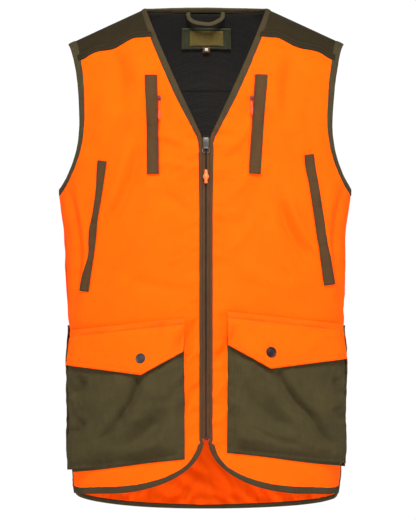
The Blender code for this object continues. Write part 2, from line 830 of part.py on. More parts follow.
def box_and_pin():
    """The zip's foot: the box on the wearer's left half and the pin that drops into it from the right."""
    front = FORM_Y - FRONT_DEPTH
    top, bottom = ZIP_BOTTOM_Z + 8, ZIP_BOTTOM_Z - 1.6
    pieces = (
        ((1.0, front - 1.0, bottom), (3.6, front - 0.2, top)),
        ((-2.8, front - 1.0, bottom), (3.6, front + 4.2, ZIP_BOTTOM_Z + 0.2)),
        ((0.5, front + COIL_BEHIND, bottom), (3.4, front + 4.2, top)),
    )
    holder = joined("zip_retainer_box", pieces, METAL)
    low, high = (-2.6, front + 1.4, ZIP_BOTTOM_Z + 0.6), (-0.4, front + 3.2, ZIP_BOTTOM_Z + 8.4)
    return holder, box("zip_insertion_pin", low, high, METAL)


def main_slider():
    """The zip's slider, its pull tab, and the cord and toggle looped through the tab."""
    front = FORM_Y - FRONT_DEPTH
    low, high = SLIDER_Z - SLIDER_LENGTH / 2, SLIDER_Z + SLIDER_LENGTH / 2
    half = SLIDER_HALF
    body = joined(
        "zip_slider",
        (
            ((-half, front - 1.3, low), (half, front - 0.2, high)),
            ((-half, front + 4.2, low), (half, front + 5.2, high)),
            ((-0.6, front - 1.0, high - 5), (0.6, front + 5.0, high - 0.4)),
            ((-1.3, front - 4.6, PULL_PIVOT_Z - 4.5), (1.3, front - 1.0, PULL_PIVOT_Z - 2.6)),
            ((-1.3, front - 4.6, PULL_PIVOT_Z + 2.4), (1.3, front - 1.0, PULL_PIVOT_Z + 4.4)),
            ((-1.3, front - 4.6, PULL_PIVOT_Z - 4.5), (1.3, front - 3.4, PULL_PIVOT_Z + 4.4)),
        ),
        METAL,
    )
    eye_y = -PULL_LENGTH + 4.6
    eye = [(2.6 * math.cos(a), eye_y + 2.2 * math.sin(a)) for a in steps(0, 2 * math.pi, 13)[:-1]]
    outer = [(3.0, 1.6), (-3.0, 1.6), (-3.6, 0), (-3.6, -4), (-4.6, eye_y), (-4.0, -PULL_LENGTH)]
    outer += [(4.0, -PULL_LENGTH), (4.6, eye_y), (3.6, -4), (3.6, 0)]
    hang = Matrix(((1, 0, 0, 0), (0, 0, -1, front - 2.35), (0, 1, 0, PULL_PIVOT_Z), (0, 0, 0, 1)))
    window = [(1.9, 0.2), (-1.9, 0.2), (-1.9, -5.4), (1.9, -5.4)]
    tab = plate("zip_pull_tab", (outer, window, eye), 1.2, METAL, hang)
    eye_z = PULL_PIVOT_Z + eye_y
    loop_y = front - 2.35
    bar_z = eye_z - 3.4
    cord_points = [
        (0, loop_y + 1.9, eye_z - 6.5),
        (0, loop_y + 2.4, bar_z),
        (0, loop_y + 1.7, eye_z),
        (0, loop_y, eye_z + 0.8),
        (0, loop_y - 1.7, eye_z),
        (0, loop_y - 2.4, bar_z),
        (0, loop_y - 1.9, eye_z - 7.5),
        (0, loop_y - 1.9, eye_z - CORD_LENGTH),
    ]
    cord = wire("zip_pull_cord", cord_points, 0.7, COIL)
    top = eye_z - CORD_LENGTH - 0.6
    length = TOGGLE_LENGTH
    waist = ((2.2, -0.2 * length), (3.9, -0.45 * length), (3.9, -0.6 * length), (2.2, -0.8 * length))
    profile = ((0, 0), (1.6, 0), *waist, (2.0, -length), (0, -length))
    toggle = turned("zip_pull_toggle", profile, TOGGLE, Matrix.Translation((0, loop_y - 1.9, top)))
    slide = pivot("zip_slider_pivot", (0, front, SLIDER_Z))
    swing = pivot("zip_pull_pivot", (0, loop_y, PULL_PIVOT_Z + 0.9), slide)
    dangle = pivot("zip_cord_pivot", (0, loop_y, bar_z), swing)
    attach(slide, body)
    attach(swing, tab)
    attach(dangle, cord, toggle)
    return slide


# ---------------------------------------------------------------- back and neck


def back_armhole(margin, seam_z, above):
    """The back's cloth edge at the wearer's left armhole, on one side of a level seam."""
    arm = inset(to_back(armhole()), -(ARM_TAPE + SEAM_GAP + margin))
    return cut_at(arm, lambda x: seam_z, SEAM_GAP)[0 if above else 1]


def upper_back_outline(margin, seam_z):
    """The back between the neck tape, the armholes and a level seam."""
    arm = back_armhole(margin, seam_z, True)
    neck = inset(back_neck(), -(HEM_TAPE + SEAM_GAP + margin))
    ridge = [(theta, RIDGE_GAP + margin) for theta in steps(arm[-1][0], neck[0][0], 6)[1:-1]]
    left = arm + ridge
    right = other_side(left)[::-1]
    seam = [at_back(x, seam_z + SEAM_GAP / 2) for x in steps(seen(right[-1])[0], seen(arm[0])[0], 9)[1:-1]]
    return left + neck + right + seam


def lower_back_outline(margin, seam_z, hem):
    """The back from a level seam down to a hem line."""
    left = back_armhole(margin, seam_z, False)
    right = other_side(left)
    seam = [at_back(x, seam_z - SEAM_GAP / 2) for x in steps(seen(left[-1])[0], seen(right[-1])[0], 9)[1:-1]]
    return left + seam + right[::-1] + hem[::-1]


def other_side(path):
    return [(2 * math.pi - theta, drop) for theta, drop in path]


def back_pieces():
    hem = inset(back_hem(), BACK_HEM_TAPE + SEAM_GAP)
    margin = SIDE_GAP + LINING_MARGIN / FRONT_DEPTH
    lining_hem = [at_angle(t, BACK_LINING_HEM_Z) for t in steps(QUARTER + margin, 3 * QUARTER - margin, 15)]
    cloth("back_panel", lower_back_outline(0, BACK_SEAM_Z, hem), SHELL, ORANGE)
    cloth("back_yoke", upper_back_outline(0, BACK_SEAM_Z), SHELL, OLIVE)
    cloth("back_lining", lower_back_outline(LINING_MARGIN, LINING_SEAM_Z, lining_hem), LINING, MESH)
    cloth("neck_facing", upper_back_outline(LINING_MARGIN, LINING_SEAM_Z), LINING, MESH, POCKET_STEP)
    tape("neck_binding", back_neck(), -HEM_TAPE, TAPE, OLIVE)
    tape("hem_binding_back", back_hem(), BACK_HEM_TAPE, TAPE, OLIVE)
    for label, side in SIDES:
        path = mirrored(to_back(armhole()), side)
        tape(f"armhole_binding_back_{label}", path, -side * ARM_TAPE, TAPE, OLIVE)


def game_pocket():
    low, high = GAME_POCKET_Z
    angles = steps(GAME_POCKET_SIDE, 2 * math.pi - GAME_POCKET_SIDE, 15)
    outline = [at_angle(theta, low) for theta in angles] + [at_angle(theta, high) for theta in angles[::-1]]

    def lift(theta, drop):
        _, z = seen((theta, drop))
        side_ramp = smooth((QUARTER - abs(abs(theta) - math.pi)) * 150 / POCKET_RAMP)
        return POCKET[0] + GAME_BULGE * side_ramp * smooth((z - low) / POCKET_RAMP) * smooth((high - z) / 60)

    cloth("game_pocket", outline, POCKET, OLIVE, CLOTH_STEP, lift)


def back_rectangle(low_x, high_x, low_z, high_z):
    return [at_back(x, z) for x, z in ((low_x, low_z), (low_x, high_z), (high_x, high_z), (high_x, low_z))]


def neck_fittings():
    """The label patch with its blank insert and hanging size tag, and the hanger loop."""
    wide, high = LABEL_SIZE[0] / 2, LABEL_SIZE[1] / 2
    patch = back_rectangle(-wide, wide, LABEL_Z - high, LABEL_Z + high)
    insert = back_rectangle(-27, 27, LABEL_Z - 11, LABEL_Z + 13)
    tag_top = LABEL_Z - high + 5
    tag = back_rectangle(-4.5, 7.5, tag_top - 9, tag_top)
    cloth("label_patch", patch, LABEL_PATCH, OLIVE, POCKET_STEP)
    cloth("label_insert", insert, LABEL_INSERT, LABEL, POCKET_STEP)
    tag_pivot = pivot("size_tag_pivot", lifted(*at_back(1.5, tag_top), SIZE_TAG[0]))
    attach(tag_pivot, cloth("size_tag", tag, SIZE_TAG, LABEL, POCKET_STEP))
    root = lifted(*at_back(HANGER_HALF, NECK_Z - 1), LINING[0] - 4.0)
    root.x = 0
    half, droop, wide = HANGER_HALF, HANGER_DROOP, HANGER_WIDTH
    outer = [(-half - 2, 0), (-half, -0.55 * droop), (-0.6 * half, -0.9 * droop), (-0.36 * half, -droop)]
    inner = [(-half + 3, 0), (-half + 4.5, -0.4 * droop)]
    inner += [(-0.5 * half, -0.7 * droop + 1), (-0.32 * half, wide - droop)]
    outer += [(-x, z) for x, z in outer[::-1]]
    inner += [(-x, z) for x, z in inner[::-1]]
    upright = Matrix(((1, 0, 0, 0), (0, 0, -1, root.y), (0, 1, 0, root.z), (0, 0, 0, 1)))
    hanger = plate("hanger_loop", (outer + inner[::-1],), 3.0, OLIVE, upright)
    attach(pivot("hanger_pivot", root), hanger)


# ---------------------------------------------------------------- assembly


def build():
    sliders = main_slider()
    holder, pin = box_and_pin()
    for label, side in SIDES:
        theta, drop = at_angle(side * QUARTER, ARMPIT_Z)
        door = pivot(f"front_pivot_{label}", on_form(theta, drop))
        attach(door, *front_pieces(label, side), *chest_pocket(label, side), *hand_pocket(label, side))
        attach(door, cargo_pocket(label, side), snap_stud(label, side), *zip_half(label, side))
        attach(door, flap(label, side), chest_slider(label, side))
        yoke(label, side)
        attach(door, *((sliders, holder) if label == "left" else (pin,)))
    back_pieces()
    game_pocket()
    neck_fittings()


build()
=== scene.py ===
"""Looks for the blaze orange field vest: cloth, tapes, zips, stitching and materials on the CAD frame.

The cloth lies on the same body form as the solids. A pattern point is (theta, drop): theta runs round the
body from the centre front, past the wearer's left side at 90 degrees, to the centre back, and drop is the
distance below the shoulder ridge. Lengths are in millimetres until an object is made.
"""

import json
import math

import bmesh
import bpy
import numpy as np
from mathutils import Matrix, Vector
from mathutils.geometry import delaunay_2d_cdt


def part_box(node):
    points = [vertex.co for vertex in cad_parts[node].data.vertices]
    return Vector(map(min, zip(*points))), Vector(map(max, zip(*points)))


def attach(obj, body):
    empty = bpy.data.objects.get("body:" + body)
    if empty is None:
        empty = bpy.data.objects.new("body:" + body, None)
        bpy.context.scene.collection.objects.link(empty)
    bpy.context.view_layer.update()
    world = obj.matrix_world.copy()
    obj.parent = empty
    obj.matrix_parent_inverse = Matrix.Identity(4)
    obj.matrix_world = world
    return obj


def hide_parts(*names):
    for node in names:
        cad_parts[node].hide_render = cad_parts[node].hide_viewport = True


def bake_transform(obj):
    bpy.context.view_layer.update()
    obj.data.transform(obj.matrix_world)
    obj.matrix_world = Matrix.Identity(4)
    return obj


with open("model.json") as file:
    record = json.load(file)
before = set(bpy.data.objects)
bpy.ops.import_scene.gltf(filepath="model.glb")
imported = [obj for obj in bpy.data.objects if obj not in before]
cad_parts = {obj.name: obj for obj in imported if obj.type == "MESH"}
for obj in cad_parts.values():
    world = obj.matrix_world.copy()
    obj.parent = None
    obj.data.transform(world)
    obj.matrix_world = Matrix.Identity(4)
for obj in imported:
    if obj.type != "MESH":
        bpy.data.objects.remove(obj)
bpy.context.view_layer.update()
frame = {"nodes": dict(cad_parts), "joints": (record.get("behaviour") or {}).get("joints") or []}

MM = 0.001
QUARTER = math.pi / 2
SIDES = (("left", 1), ("right", -1))

# The body form and the seams, as in the solids
FORM_Y = 11.31
NECK_Z, NECK_HALF, NECK_SOFTNESS = 750.0, 90.0, 28.0
SHOULDER_SLOPE, ROLL, ROLL_SHARPNESS = 0.47, 150.0, 1.2
FRONT_DEPTH = 118.0
WIDTH_STATIONS = (
    (0, 193), (60, 199), (150, 201), (255, 203), (290, 207.5), (400, 210), (480, 218.5), (700, 225),
)
BACK_DEPTH_STATIONS = ((0, 98), (320, 90), (560, 102), (750, 100))
ZIP_TOP_Z, ZIP_BOTTOM_Z = 556.0, 106.0
CENTRE_EDGE, NECK_TAPE, CENTRE_TAPE = 5.4, 9.0, 4.8
HEM_TAPE, ARM_TAPE, BACK_HEM_TAPE = 9.6, 11.5, 6.0
HEM_CORNER = (150.0, 147.0, 82.0)
SIDE_HEM_Z, FRONT_HEM_DIP = 26.0, 23.0
ARM_WAIST_Z, ARM_WAIST = 585.0, math.radians(58.5)
ARMPIT_Z, ARM_TIP = 480.0, math.radians(66.6)
YOKE_SEAM, YOKE_SEAM_SAG, BACK_SEAM_Z = (86.0, 707.0, 190.0, 672.0), 1.3, 668.0
LINING_SEAM_Z, BACK_LINING_HEM_Z = 632.0, 205.0
NECK_ARCH = 3.0
RISE = 4.8
CHEST_TOP, CHEST_BOTTOM, CHEST_LEAN, CHEST_WELT_WIDTH = (81.7, 649.0), (76.0, 502.0), 3.1, 16.8
HAND_TOP, HAND_BOTTOM = (154.0, 526.5), (181.4, 331.5)
FLAP_TOP = ((31.0, 292.0), (201.5, 273.0))
FLAP_EDGE = ((33.0, 242.0), (91.0, 207.0), (201.5, 222.0))
POCKET_BOTTOM = ((31.5, 81.0), (197.5, 64.0))
SNAP = (91.5, 230.0)
POCKET_BULGE, POCKET_RAMP, MOUTH_RAMP = 12.0, 26.0, 75.0
GAME_POCKET_Z, GAME_POCKET_SIDE, GAME_BULGE = (64.0, 276.0), math.radians(93.0), 10.0

# Layers above the shell cloth
SHELL_THICK = 1.3
LINING_LIFT = -9.0
CHEST_BAG_LIFT, HAND_BAG_LIFT = -3.9, -6.4
TAPE_THICK = 3.4
WELT_LIFT = 2.4
FLAP_CLEAR = 5.4

# A bend strip for the front pieces, from the shoulder ridge down to the top of the chest pockets; the
# pieces are not bent by it
BEND_START = (0.0, 0.0113, 0.748)
BEND_END = (0.0, -0.087, 0.650)
FLAP_BEND = 0.042

# Near the sides the cloth runs about this many millimetres per radian
SIDE_ARC = 150.0


# ---------------------------------------------------------------- body form, on arrays


def smooth(t):
    t = np.clip(t, 0.0, 1.0)
    return t * t * (3 - 2 * t)


def between(stations, z):
    zs, values = np.array(stations, float).T
    i = np.clip(np.searchsorted(zs, z) - 1, 0, len(zs) - 2)
    return values[i] + (values[i + 1] - values[i]) * smooth((z - zs[i]) / (zs[i + 1] - zs[i]))


def half_width(z):
    return between(WIDTH_STATIONS, z)


def ridge_z(x):
    return NECK_Z - SHOULDER_SLOPE * (np.hypot(x, NECK_SOFTNESS) - math.hypot(NECK_HALF, NECK_SOFTNESS))


def drop_to_z(x, drop):
    turned = ROLL * (1 - np.cos(np.minimum(drop / ROLL, QUARTER)))
    return ridge_z(x) - turned - np.maximum(drop - ROLL * QUARTER, 0)


def z_to_drop(x, z):
    below = np.maximum(ridge_z(x) - z, 0)
    return ROLL * np.arccos(1 - np.minimum(below, ROLL) / ROLL) + np.maximum(below - ROLL, 0)


def hump(distance, width):
    """One soft bump, 1 high at distance 0."""
    return np.exp(-((distance / width) ** 2))


def points(theta, drop):
    return np.stack(np.broadcast_arrays(np.asarray(theta, float), np.asarray(drop, float)), -1)


def at_angle(theta, z):
    return points(theta, z_to_drop(half_width(z) * np.sin(theta), z))


def at_front(x, z):
    x, z = np.asarray(x, float), np.asarray(z, float)
    return points(np.arcsin(np.clip(x / half_width(z), -1, 1)), z_to_drop(x, z))


def at_back(x, z):
    made = at_front(x, z)
    return points(math.pi - made[..., 0], made[..., 1])


def on_form(p):
    theta, drop = p[..., 0], p[..., 1]
    z = np.full(theta.shape, ARMPIT_Z)
    for _ in range(8):
        x = half_width(z) * np.sin(theta)
        z = drop_to_z(x, drop)
    depth = np.where(np.cos(theta) > 0, FRONT_DEPTH, between(BACK_DEPTH_STATIONS, z))
    bend = np.sin(np.clip(drop / ROLL, 0, QUARTER)) ** ROLL_SHARPNESS
    return np.stack((x, FORM_Y - depth * np.cos(theta) * bend, z), -1)


def tangents(p):
    step, run = np.array((0.002, 0.0)), np.array((0.0, 1.0))
    low = p.copy()
    low[..., 1] = np.maximum(p[..., 1] - 0.5, 0.5)
    return (on_form(p + step) - on_form(p - step)) / 0.004, on_form(low + run) - on_form(low)


def unit(v):
    return v / np.linalg.norm(v, axis=-1, keepdims=True)


def outward(p):
    along, down = tangents(p)
    return unit(np.cross(down, along))


def seen(p):
    place = on_form(np.asarray(p, float))
    return place[..., 0], place[..., 2]


# Lengths round an oval of the vest's half width and half depth, at every half degree
OVAL_WIDTH, OVAL_DEPTH = 208, 110
GIRTH_ANGLES = np.linspace(-math.pi, math.pi, 721)
GIRTH_RATES = np.hypot(OVAL_WIDTH * np.cos(GIRTH_ANGLES[1:]), OVAL_DEPTH * np.sin(GIRTH_ANGLES[1:]))
GIRTH = np.concatenate(([0.0], np.cumsum(GIRTH_RATES)))
GIRTH = (GIRTH - GIRTH[len(GIRTH) // 2]) * math.radians(0.5)


def girth(theta):
    """Distance round the body from the centre front."""
    theta = np.asarray(theta, float)
    turned = theta > math.pi
    length = np.interp(np.where(turned, theta - 2 * math.pi, theta), GIRTH_ANGLES, GIRTH)
    return length + turned * 2 * GIRTH[-1]


# ---------------------------------------------------------------- noise and folds


def lattice(ix, iy, seed):
    """An angle for each whole-numbered point, scattered by an integer hash."""
    n = ix.astype(np.int64) * 374761393 + iy.astype(np.int64) * 668265263 + seed * 974634777
    n = ((n ^ (n >> 13)) * 1274126177) & 0x7FFFFFFF
    return ((n ^ (n >> 16)) & 0xFFFF) * (2 * math.pi / 65536)


def noise(u, v, seed):
    """Smooth gradient noise, about -1 to 1."""
    u, v = np.broadcast_arrays(np.asarray(u, float), np.asarray(v, float))
    iu, iv = np.floor(u), np.floor(v)
    fu, fv = u - iu, v - iv
    su, sv = smooth(fu), smooth(fv)

    def corner(du, dv):
        angle = lattice(iu + du, iv + dv, seed)
        return np.cos(angle) * (fu - du) + np.sin(angle) * (fv - dv)

    low = corner(0, 0) * (1 - su) + corner(1, 0) * su
    high = corner(0, 1) * (1 - su) + corner(1, 1) * su
    return 1.5 * (low * (1 - sv) + high * sv)


def creases(u, v, angle, across, along, seed):
    """Cloth creases: soft valleys and rounder ridges that run at an angle."""
    c, s = math.cos(angle), math.sin(angle)
    a, b = c * u + s * v, -s * u + c * v
    bent = a + 0.35 * across * noise(a / (2.5 * across), b / along, seed + 11)
    n = noise(b / along, bent / across, seed)
    return 0.6 - np.sqrt(n * n + 0.02) * 2.0


def drape(p):
    """The hang of the whole vest, shared by every layer."""
    u, v = girth(p[..., 0]), p[..., 1]
    calm = smooth((v - 20) / 130)
    return calm * (2.6 * noise(u / 150, v / 230, 3) + 1.5 * noise(u / 62 + 9, v / 130, 4))


FOLD_DEPTH = 2.3

# Long folds: from (x, z) to (x, z) as seen from the front with x outwards, half width, and height
RIGHT_FOLDS = (
    ((102, 540), (150, 428), 10, -3.0), ((120, 534), (170, 415), 11, 2.4), ((96, 410), (150, 318), 13, 1.8),
    ((84, 500), (98, 400), 12, 1.5), ((138, 680), (131, 606), 14, -3.0), ((108, 690), (104, 585), 17, 1.8),
    ((204, 470), (197, 320), 6, -2.0), ((190, 465), (184, 330), 6, 1.6), ((150, 620), (165, 560), 14, 1.6),
    ((70, 560), (30, 545), 6, 1.5), ((66, 520), (28, 512), 6, 1.4), ((30, 330), (110, 345), 9, -1.2),
    ((42, 190), (12, 240), 5, 2.2), ((44, 240), (14, 284), 5, -2.2), ((40, 140), (12, 186), 5, -2.2),
    ((60, 470), (24, 440), 8, -1.4), ((112, 640), (88, 560), 13, -1.6),
)
LEFT_FOLDS = (
    ((112, 458), (147, 382), 7, -2.8), ((98, 446), (134, 348), 9, 1.8), ((126, 466), (162, 390), 7, 2.0),
    ((132, 672), (124, 600), 13, -3.0), ((104, 676), (102, 588), 15, 1.8),
    ((126, 560), (160, 500), 13, -1.6), ((26, 532), (64, 576), 6, 1.6),
    ((28, 462), (68, 508), 7, 1.5), ((28, 384), (74, 440), 8, 1.5),
    ((205, 470), (200, 330), 6, -2.0), ((188, 470), (191, 330), 7, 1.6), ((60, 360), (140, 330), 12, 1.4),
    ((12, 170), (42, 220), 5, 2.2), ((12, 222), (42, 268), 5, -2.2), ((14, 130), (42, 168), 5, 1.8),
    ((90, 500), (60, 420), 11, -1.4), ((150, 600), (162, 540), 10, -1.4),
)
RIGHT_POCKET_FOLDS = (
    ((94, 200), (121, 139), 6, -3.6), ((121, 139), (152, 104), 7, -3.0), ((78, 186), (104, 128), 11, 2.6),
    ((58, 150), (120, 94), 13, -4.2), ((56, 116), (104, 84), 9, 2.0), ((176, 196), (188, 172), 7, -3.2),
    ((176, 134), (188, 114), 7, -3.2), ((120, 200), (165, 150), 14, 2.0), ((46, 180), (60, 160), 6, -1.6),
)
LEFT_POCKET_FOLDS = (
    ((103, 206), (150, 140), 6, -3.6), ((150, 140), (180, 96), 6, -3.2), ((118, 206), (170, 132), 10, 2.6),
    ((58, 182), (112, 124), 15, -4.6), ((70, 122), (132, 98), 6, -2.2), ((96, 180), (140, 118), 9, 2.0),
    ((184, 196), (192, 172), 6, -2.8), ((184, 152), (192, 134), 6, -2.4), ((44, 120), (70, 100), 8, 1.6),
)
FLAP_FOLDS = (
    ((64, 286), (76, 252), 6, -1.0), ((80, 284), (92, 250), 6, -1.0), ((130, 270), (150, 240), 12, 1.2),
)


def long_folds(x, z, rows):
    """The sum of straight soft folds that fade out towards both ends."""
    total = np.zeros(np.shape(x))
    for (x0, z0), (x1, z1), wide, high in rows:
        length = math.hypot(x1 - x0, z1 - z0)
        ux, uz = (x1 - x0) / length, (z1 - z0) / length
        along = ((x - x0) * ux + (z - z0) * uz) / length
        bow = 0.06 * length * np.sin(math.pi * np.clip(along, 0, 1))
        off = (x - x0) * uz - (z - z0) * ux - bow
        fade = smooth((along + 0.25) / 0.45) * smooth((1.25 - along) / 0.45)
        total += FOLD_DEPTH * high * fade * hump(off, wide)
    return total


def sided_folds(p, right, left):
    x, z = seen(p)
    front = np.cos(p[..., 0]) > -0.02
    return front * np.where(x < 0, long_folds(-x, z, right), long_folds(x, z, left))


def folds(p):
    """Finer folds of the outer cloth: drag lines down from the armholes and pulls beside the zip."""
    u, v = girth(p[..., 0]), p[..., 1]
    side = np.where(u > 0, 1.0, -1.0)
    reach = np.abs(u)
    front = smooth((1.75 - np.abs(p[..., 0])) / 0.4)
    patch = smooth(0.45 + 0.9 * noise(u / 95, v / 120, 21))
    drag = creases(reach + 40 * side, v, 0.95, 34, 170, 5) * patch
    fine = creases(reach + 70 * side, v, 1.3, 17, 75, 6) * smooth(0.3 + noise(u / 60, v / 80, 22))
    zip_side = np.exp(-np.maximum(reach - 11, 0) / 24) * smooth((reach - 9) / 6) * front
    tilted = v + 0.35 * reach * side
    pulls = noise(u / 55, tilted / 15, 8) + 0.45 * noise(u / 40, tilted / 7, 9)
    calm = smooth((v - 30) / 90)
    hanging = calm * (1.3 * drag + 0.9 * fine) + 3.0 * zip_side * pulls
    return hanging + sided_folds(p, RIGHT_FOLDS, LEFT_FOLDS)


def shell_relief(p):
    return drape(p) + folds(p)


def surface(p, lift=0.0, relief=drape):
    return on_form(p) + outward(p) * np.expand_dims(lift + relief(p), -1)


# ---------------------------------------------------------------- materials


def node(tree, kind, **settings):
    made = tree.nodes.new(kind)
    for key, value in settings.items():
        if hasattr(made, key):
            setattr(made, key, value)
        else:
            made.inputs[key.replace("_", " ")].default_value = value
    return made


def link(tree, source, output, target, input_name):
    tree.links.new(source.outputs[output], target.inputs[input_name])


def shader(name, colour, roughness, metallic=0.0):
    made = bpy.data.materials.new(name)
    made.use_nodes = True
    tree = made.node_tree
    surface_node = tree.nodes["Principled BSDF"]
    surface_node.inputs["Base Color"].default_value = (*colour, 1)
    surface_node.inputs["Roughness"].default_value = roughness
    surface_node.inputs["Metallic"].default_value = metallic
    return made, tree, surface_node


def mapped(tree, coordinates, kind, scale, turn=0.0, size=1.0, **settings):
    """A texture read through scaled and turned coordinates."""
    mapping = node(tree, "ShaderNodeMapping", Scale=scale, Rotation=(0, 0, turn))
    tree.links.new(coordinates, mapping.inputs["Vector"])
    made = node(tree, kind, Scale=size, **settings)
    link(tree, mapping, "Vector", made, "Vector")
    return made


def stretched_noise(tree, coordinates, scale, detail=2.0):
    return mapped(tree, coordinates, "ShaderNodeTexNoise", scale, Detail=detail, Roughness=0.6)


def sum_of(tree, first, first_output, second, second_output):
    made = node(tree, "ShaderNodeMath", operation="ADD")
    link(tree, first, first_output, made, 0)
    link(tree, second, second_output, made, 1)
    return made


def raise_by(tree, surface_node, source, output, strength, distance):
    """The source's heights as a bump on the surface."""
    raised = node(tree, "ShaderNodeBump", Strength=strength, Distance=distance)
    link(tree, source, output, raised, "Height")
    link(tree, raised, "Normal", surface_node, "Normal")


def let_glow(surface_node, colour, strength):
    surface_node.inputs["Emission Color"].default_value = (*colour, 1)
    surface_node.inputs["Emission Strength"].default_value = strength


def ramp(tree, source, output, low, high, low_at=0.35, high_at=0.65):
    made = tree.nodes.new("ShaderNodeValToRGB")
    made.color_ramp.elements[0].position, made.color_ramp.elements[1].position = low_at, high_at
    made.color_ramp.elements[0].color, made.color_ramp.elements[1].color = (*low, 1), (*high, 1)
    link(tree, source, output, made, "Fac")
    return made


def shade(colour, factor, warm=0.0):
    return tuple(min(1.0, c * factor * (1 + warm * (0.5 - i / 2))) for i, c in enumerate(colour))


def mix_colours(tree, kind, factor, first, second):
    made = node(tree, "ShaderNodeMix", data_type="RGBA", blend_type=kind)
    made.inputs[0].default_value = factor
    tree.links.new(first, made.inputs[6])
    tree.links.new(second, made.inputs[7])
    return made.outputs[2]


def woven(name, colour, thread_mm, slub=0.10, mottle=0.10, bump=0.35, sheen=0.25, glow=None, twill=True):
    """Woven cloth: two crossed sets of threads, slubs along them, and slow changes of tone."""
    made, tree, surface_node = shader(name, colour, 0.82)
    uv = node(tree, "ShaderNodeUVMap").outputs["UV"]
    per_thread = 1000.0 / thread_mm
    warp = stretched_noise(tree, uv, (per_thread * 0.8, per_thread * 0.035, 1), 2)
    weft = stretched_noise(tree, uv, (per_thread * 0.035, per_thread * 0.8, 1), 2)
    warp_tone = ramp(tree, warp, "Fac", (1 - slub,) * 3, (1 + slub * 0.6,) * 3, 0.3, 0.7)
    weft_tone = ramp(tree, weft, "Fac", (1 - slub,) * 3, (1 + slub * 0.6,) * 3, 0.3, 0.7)
    tone = mix_colours(tree, "MULTIPLY", 1.0, warp_tone.outputs["Color"], weft_tone.outputs["Color"])
    patches = stretched_noise(tree, uv, (26, 26, 1), 4)
    dark, light = shade(colour, 1 - mottle, -0.06), shade(colour, 1 + mottle * 0.6, 0.04)
    base = ramp(tree, patches, "Fac", dark, light, 0.3, 0.7)
    final = mix_colours(tree, "MULTIPLY", 1.0, base.outputs["Color"], tone)
    tree.links.new(final, surface_node.inputs["Base Color"])
    bands = []
    turns = (0.785, -0.785) if twill else (0.0, QUARTER)
    for turn, strength in zip(turns, (1.0, 0.45)):
        wave = mapped(
            tree, uv, "ShaderNodeTexWave", (per_thread, per_thread, 1), turn,
            size=0.32, wave_type="BANDS", Distortion=0.6, Detail=1.0,
        )
        scaled = node(tree, "ShaderNodeMath", operation="MULTIPLY")
        scaled.inputs[1].default_value = strength
        link(tree, wave, "Fac", scaled, 0)
        bands.append(scaled)
    height = sum_of(tree, bands[0], 0, bands[1], 0)
    raise_by(tree, surface_node, sum_of(tree, height, 0, warp, "Fac"), 0, bump, 0.0004)
    surface_node.inputs["Sheen Weight"].default_value = sheen
    surface_node.inputs["Sheen Roughness"].default_value = 0.45
    surface_node.inputs["Sheen Tint"].default_value = (*shade(colour, 1.3), 1)
    surface_node.inputs["Specular IOR Level"].default_value = 0.08
    if glow:
        let_glow(surface_node, *glow)
    return made


def redden_near_zip(made, tint):
    """Multiply a tape's colour by a tint beside the centre zip, where the photo shows it redder."""
    tree = made.node_tree
    surface_node = tree.nodes["Principled BSDF"]
    plain = surface_node.inputs["Base Color"].links[0].from_socket
    place = node(tree, "ShaderNodeTexCoord").outputs["Object"]
    parts = node(tree, "ShaderNodeSeparateXYZ")
    tree.links.new(place, parts.inputs[0])
    reach = node(tree, "ShaderNodeMath", operation="ABSOLUTE")
    link(tree, parts, "X", reach, 0)
    share = node(tree, "ShaderNodeMapRange", From_Min=0.011, From_Max=0.022)
    link(tree, reach, 0, share, "Value")
    tone = ramp(tree, share, "Result", tint, (1, 1, 1), 0.0, 1.0)
    tinted = mix_colours(tree, "MULTIPLY", 1.0, plain, tone.outputs["Color"])
    tree.links.new(tinted, surface_node.inputs["Base Color"])


def netting(name, colour):
    """Knitted mesh lining: rows of small round holes in dark cloth."""
    made, tree, surface_node = shader(name, colour, 0.85)
    uv = node(tree, "ShaderNodeUVMap").outputs["UV"]
    cells = mapped(tree, uv, "ShaderNodeTexVoronoi", (360, 420, 1), feature="F1", Randomness=0.25)
    holes = ramp(tree, cells, "Distance", shade(colour, 0.25), shade(colour, 1.15), 0.22, 0.42)
    rows = stretched_noise(tree, uv, (14, 320, 1), 2)
    tone = ramp(tree, rows, "Fac", (0.75, 0.72, 0.72), (1.3, 1.22, 1.2), 0.3, 0.7)
    final = mix_colours(tree, "MULTIPLY", 1.0, holes.outputs["Color"], tone.outputs["Color"])
    tree.links.new(final, surface_node.inputs["Base Color"])
    raise_by(tree, surface_node, cells, "Distance", 0.6, 0.0006)
    surface_node.inputs["Sheen Weight"].default_value = 0.1
    surface_node.inputs["Specular IOR Level"].default_value = 0.1
    # A faint glow lifts the lining where it lies in shade: painted light.
    let_glow(surface_node, (1.0, 0.9, 0.86), 0.003)
    return made


def moulded(name, colour, roughness, metallic=0.0, wear=0.15, glow=None):
    """Metal or plastic with faint scuffs, read from the object's own coordinates."""
    made, tree, surface_node = shader(name, colour, roughness, metallic)
    place = node(tree, "ShaderNodeTexCoord").outputs["Object"]
    scuffs = stretched_noise(tree, place, (900, 900, 300), 4)
    tone = ramp(tree, scuffs, "Fac", shade(colour, 1 - wear), shade(colour, 1 + wear), 0.3, 0.7)
    link(tree, tone, "Color", surface_node, "Base Color")
    rough = node(tree, "ShaderNodeMapRange", To_Min=roughness * 0.8, To_Max=min(1, roughness * 1.3))
    link(tree, scuffs, "Fac", rough, "Value")
    link(tree, rough, "Result", surface_node, "Roughness")
    raise_by(tree, surface_node, scuffs, "Fac", 0.12, 0.0002)
    if glow:
        let_glow(surface_node, *glow)
    return made
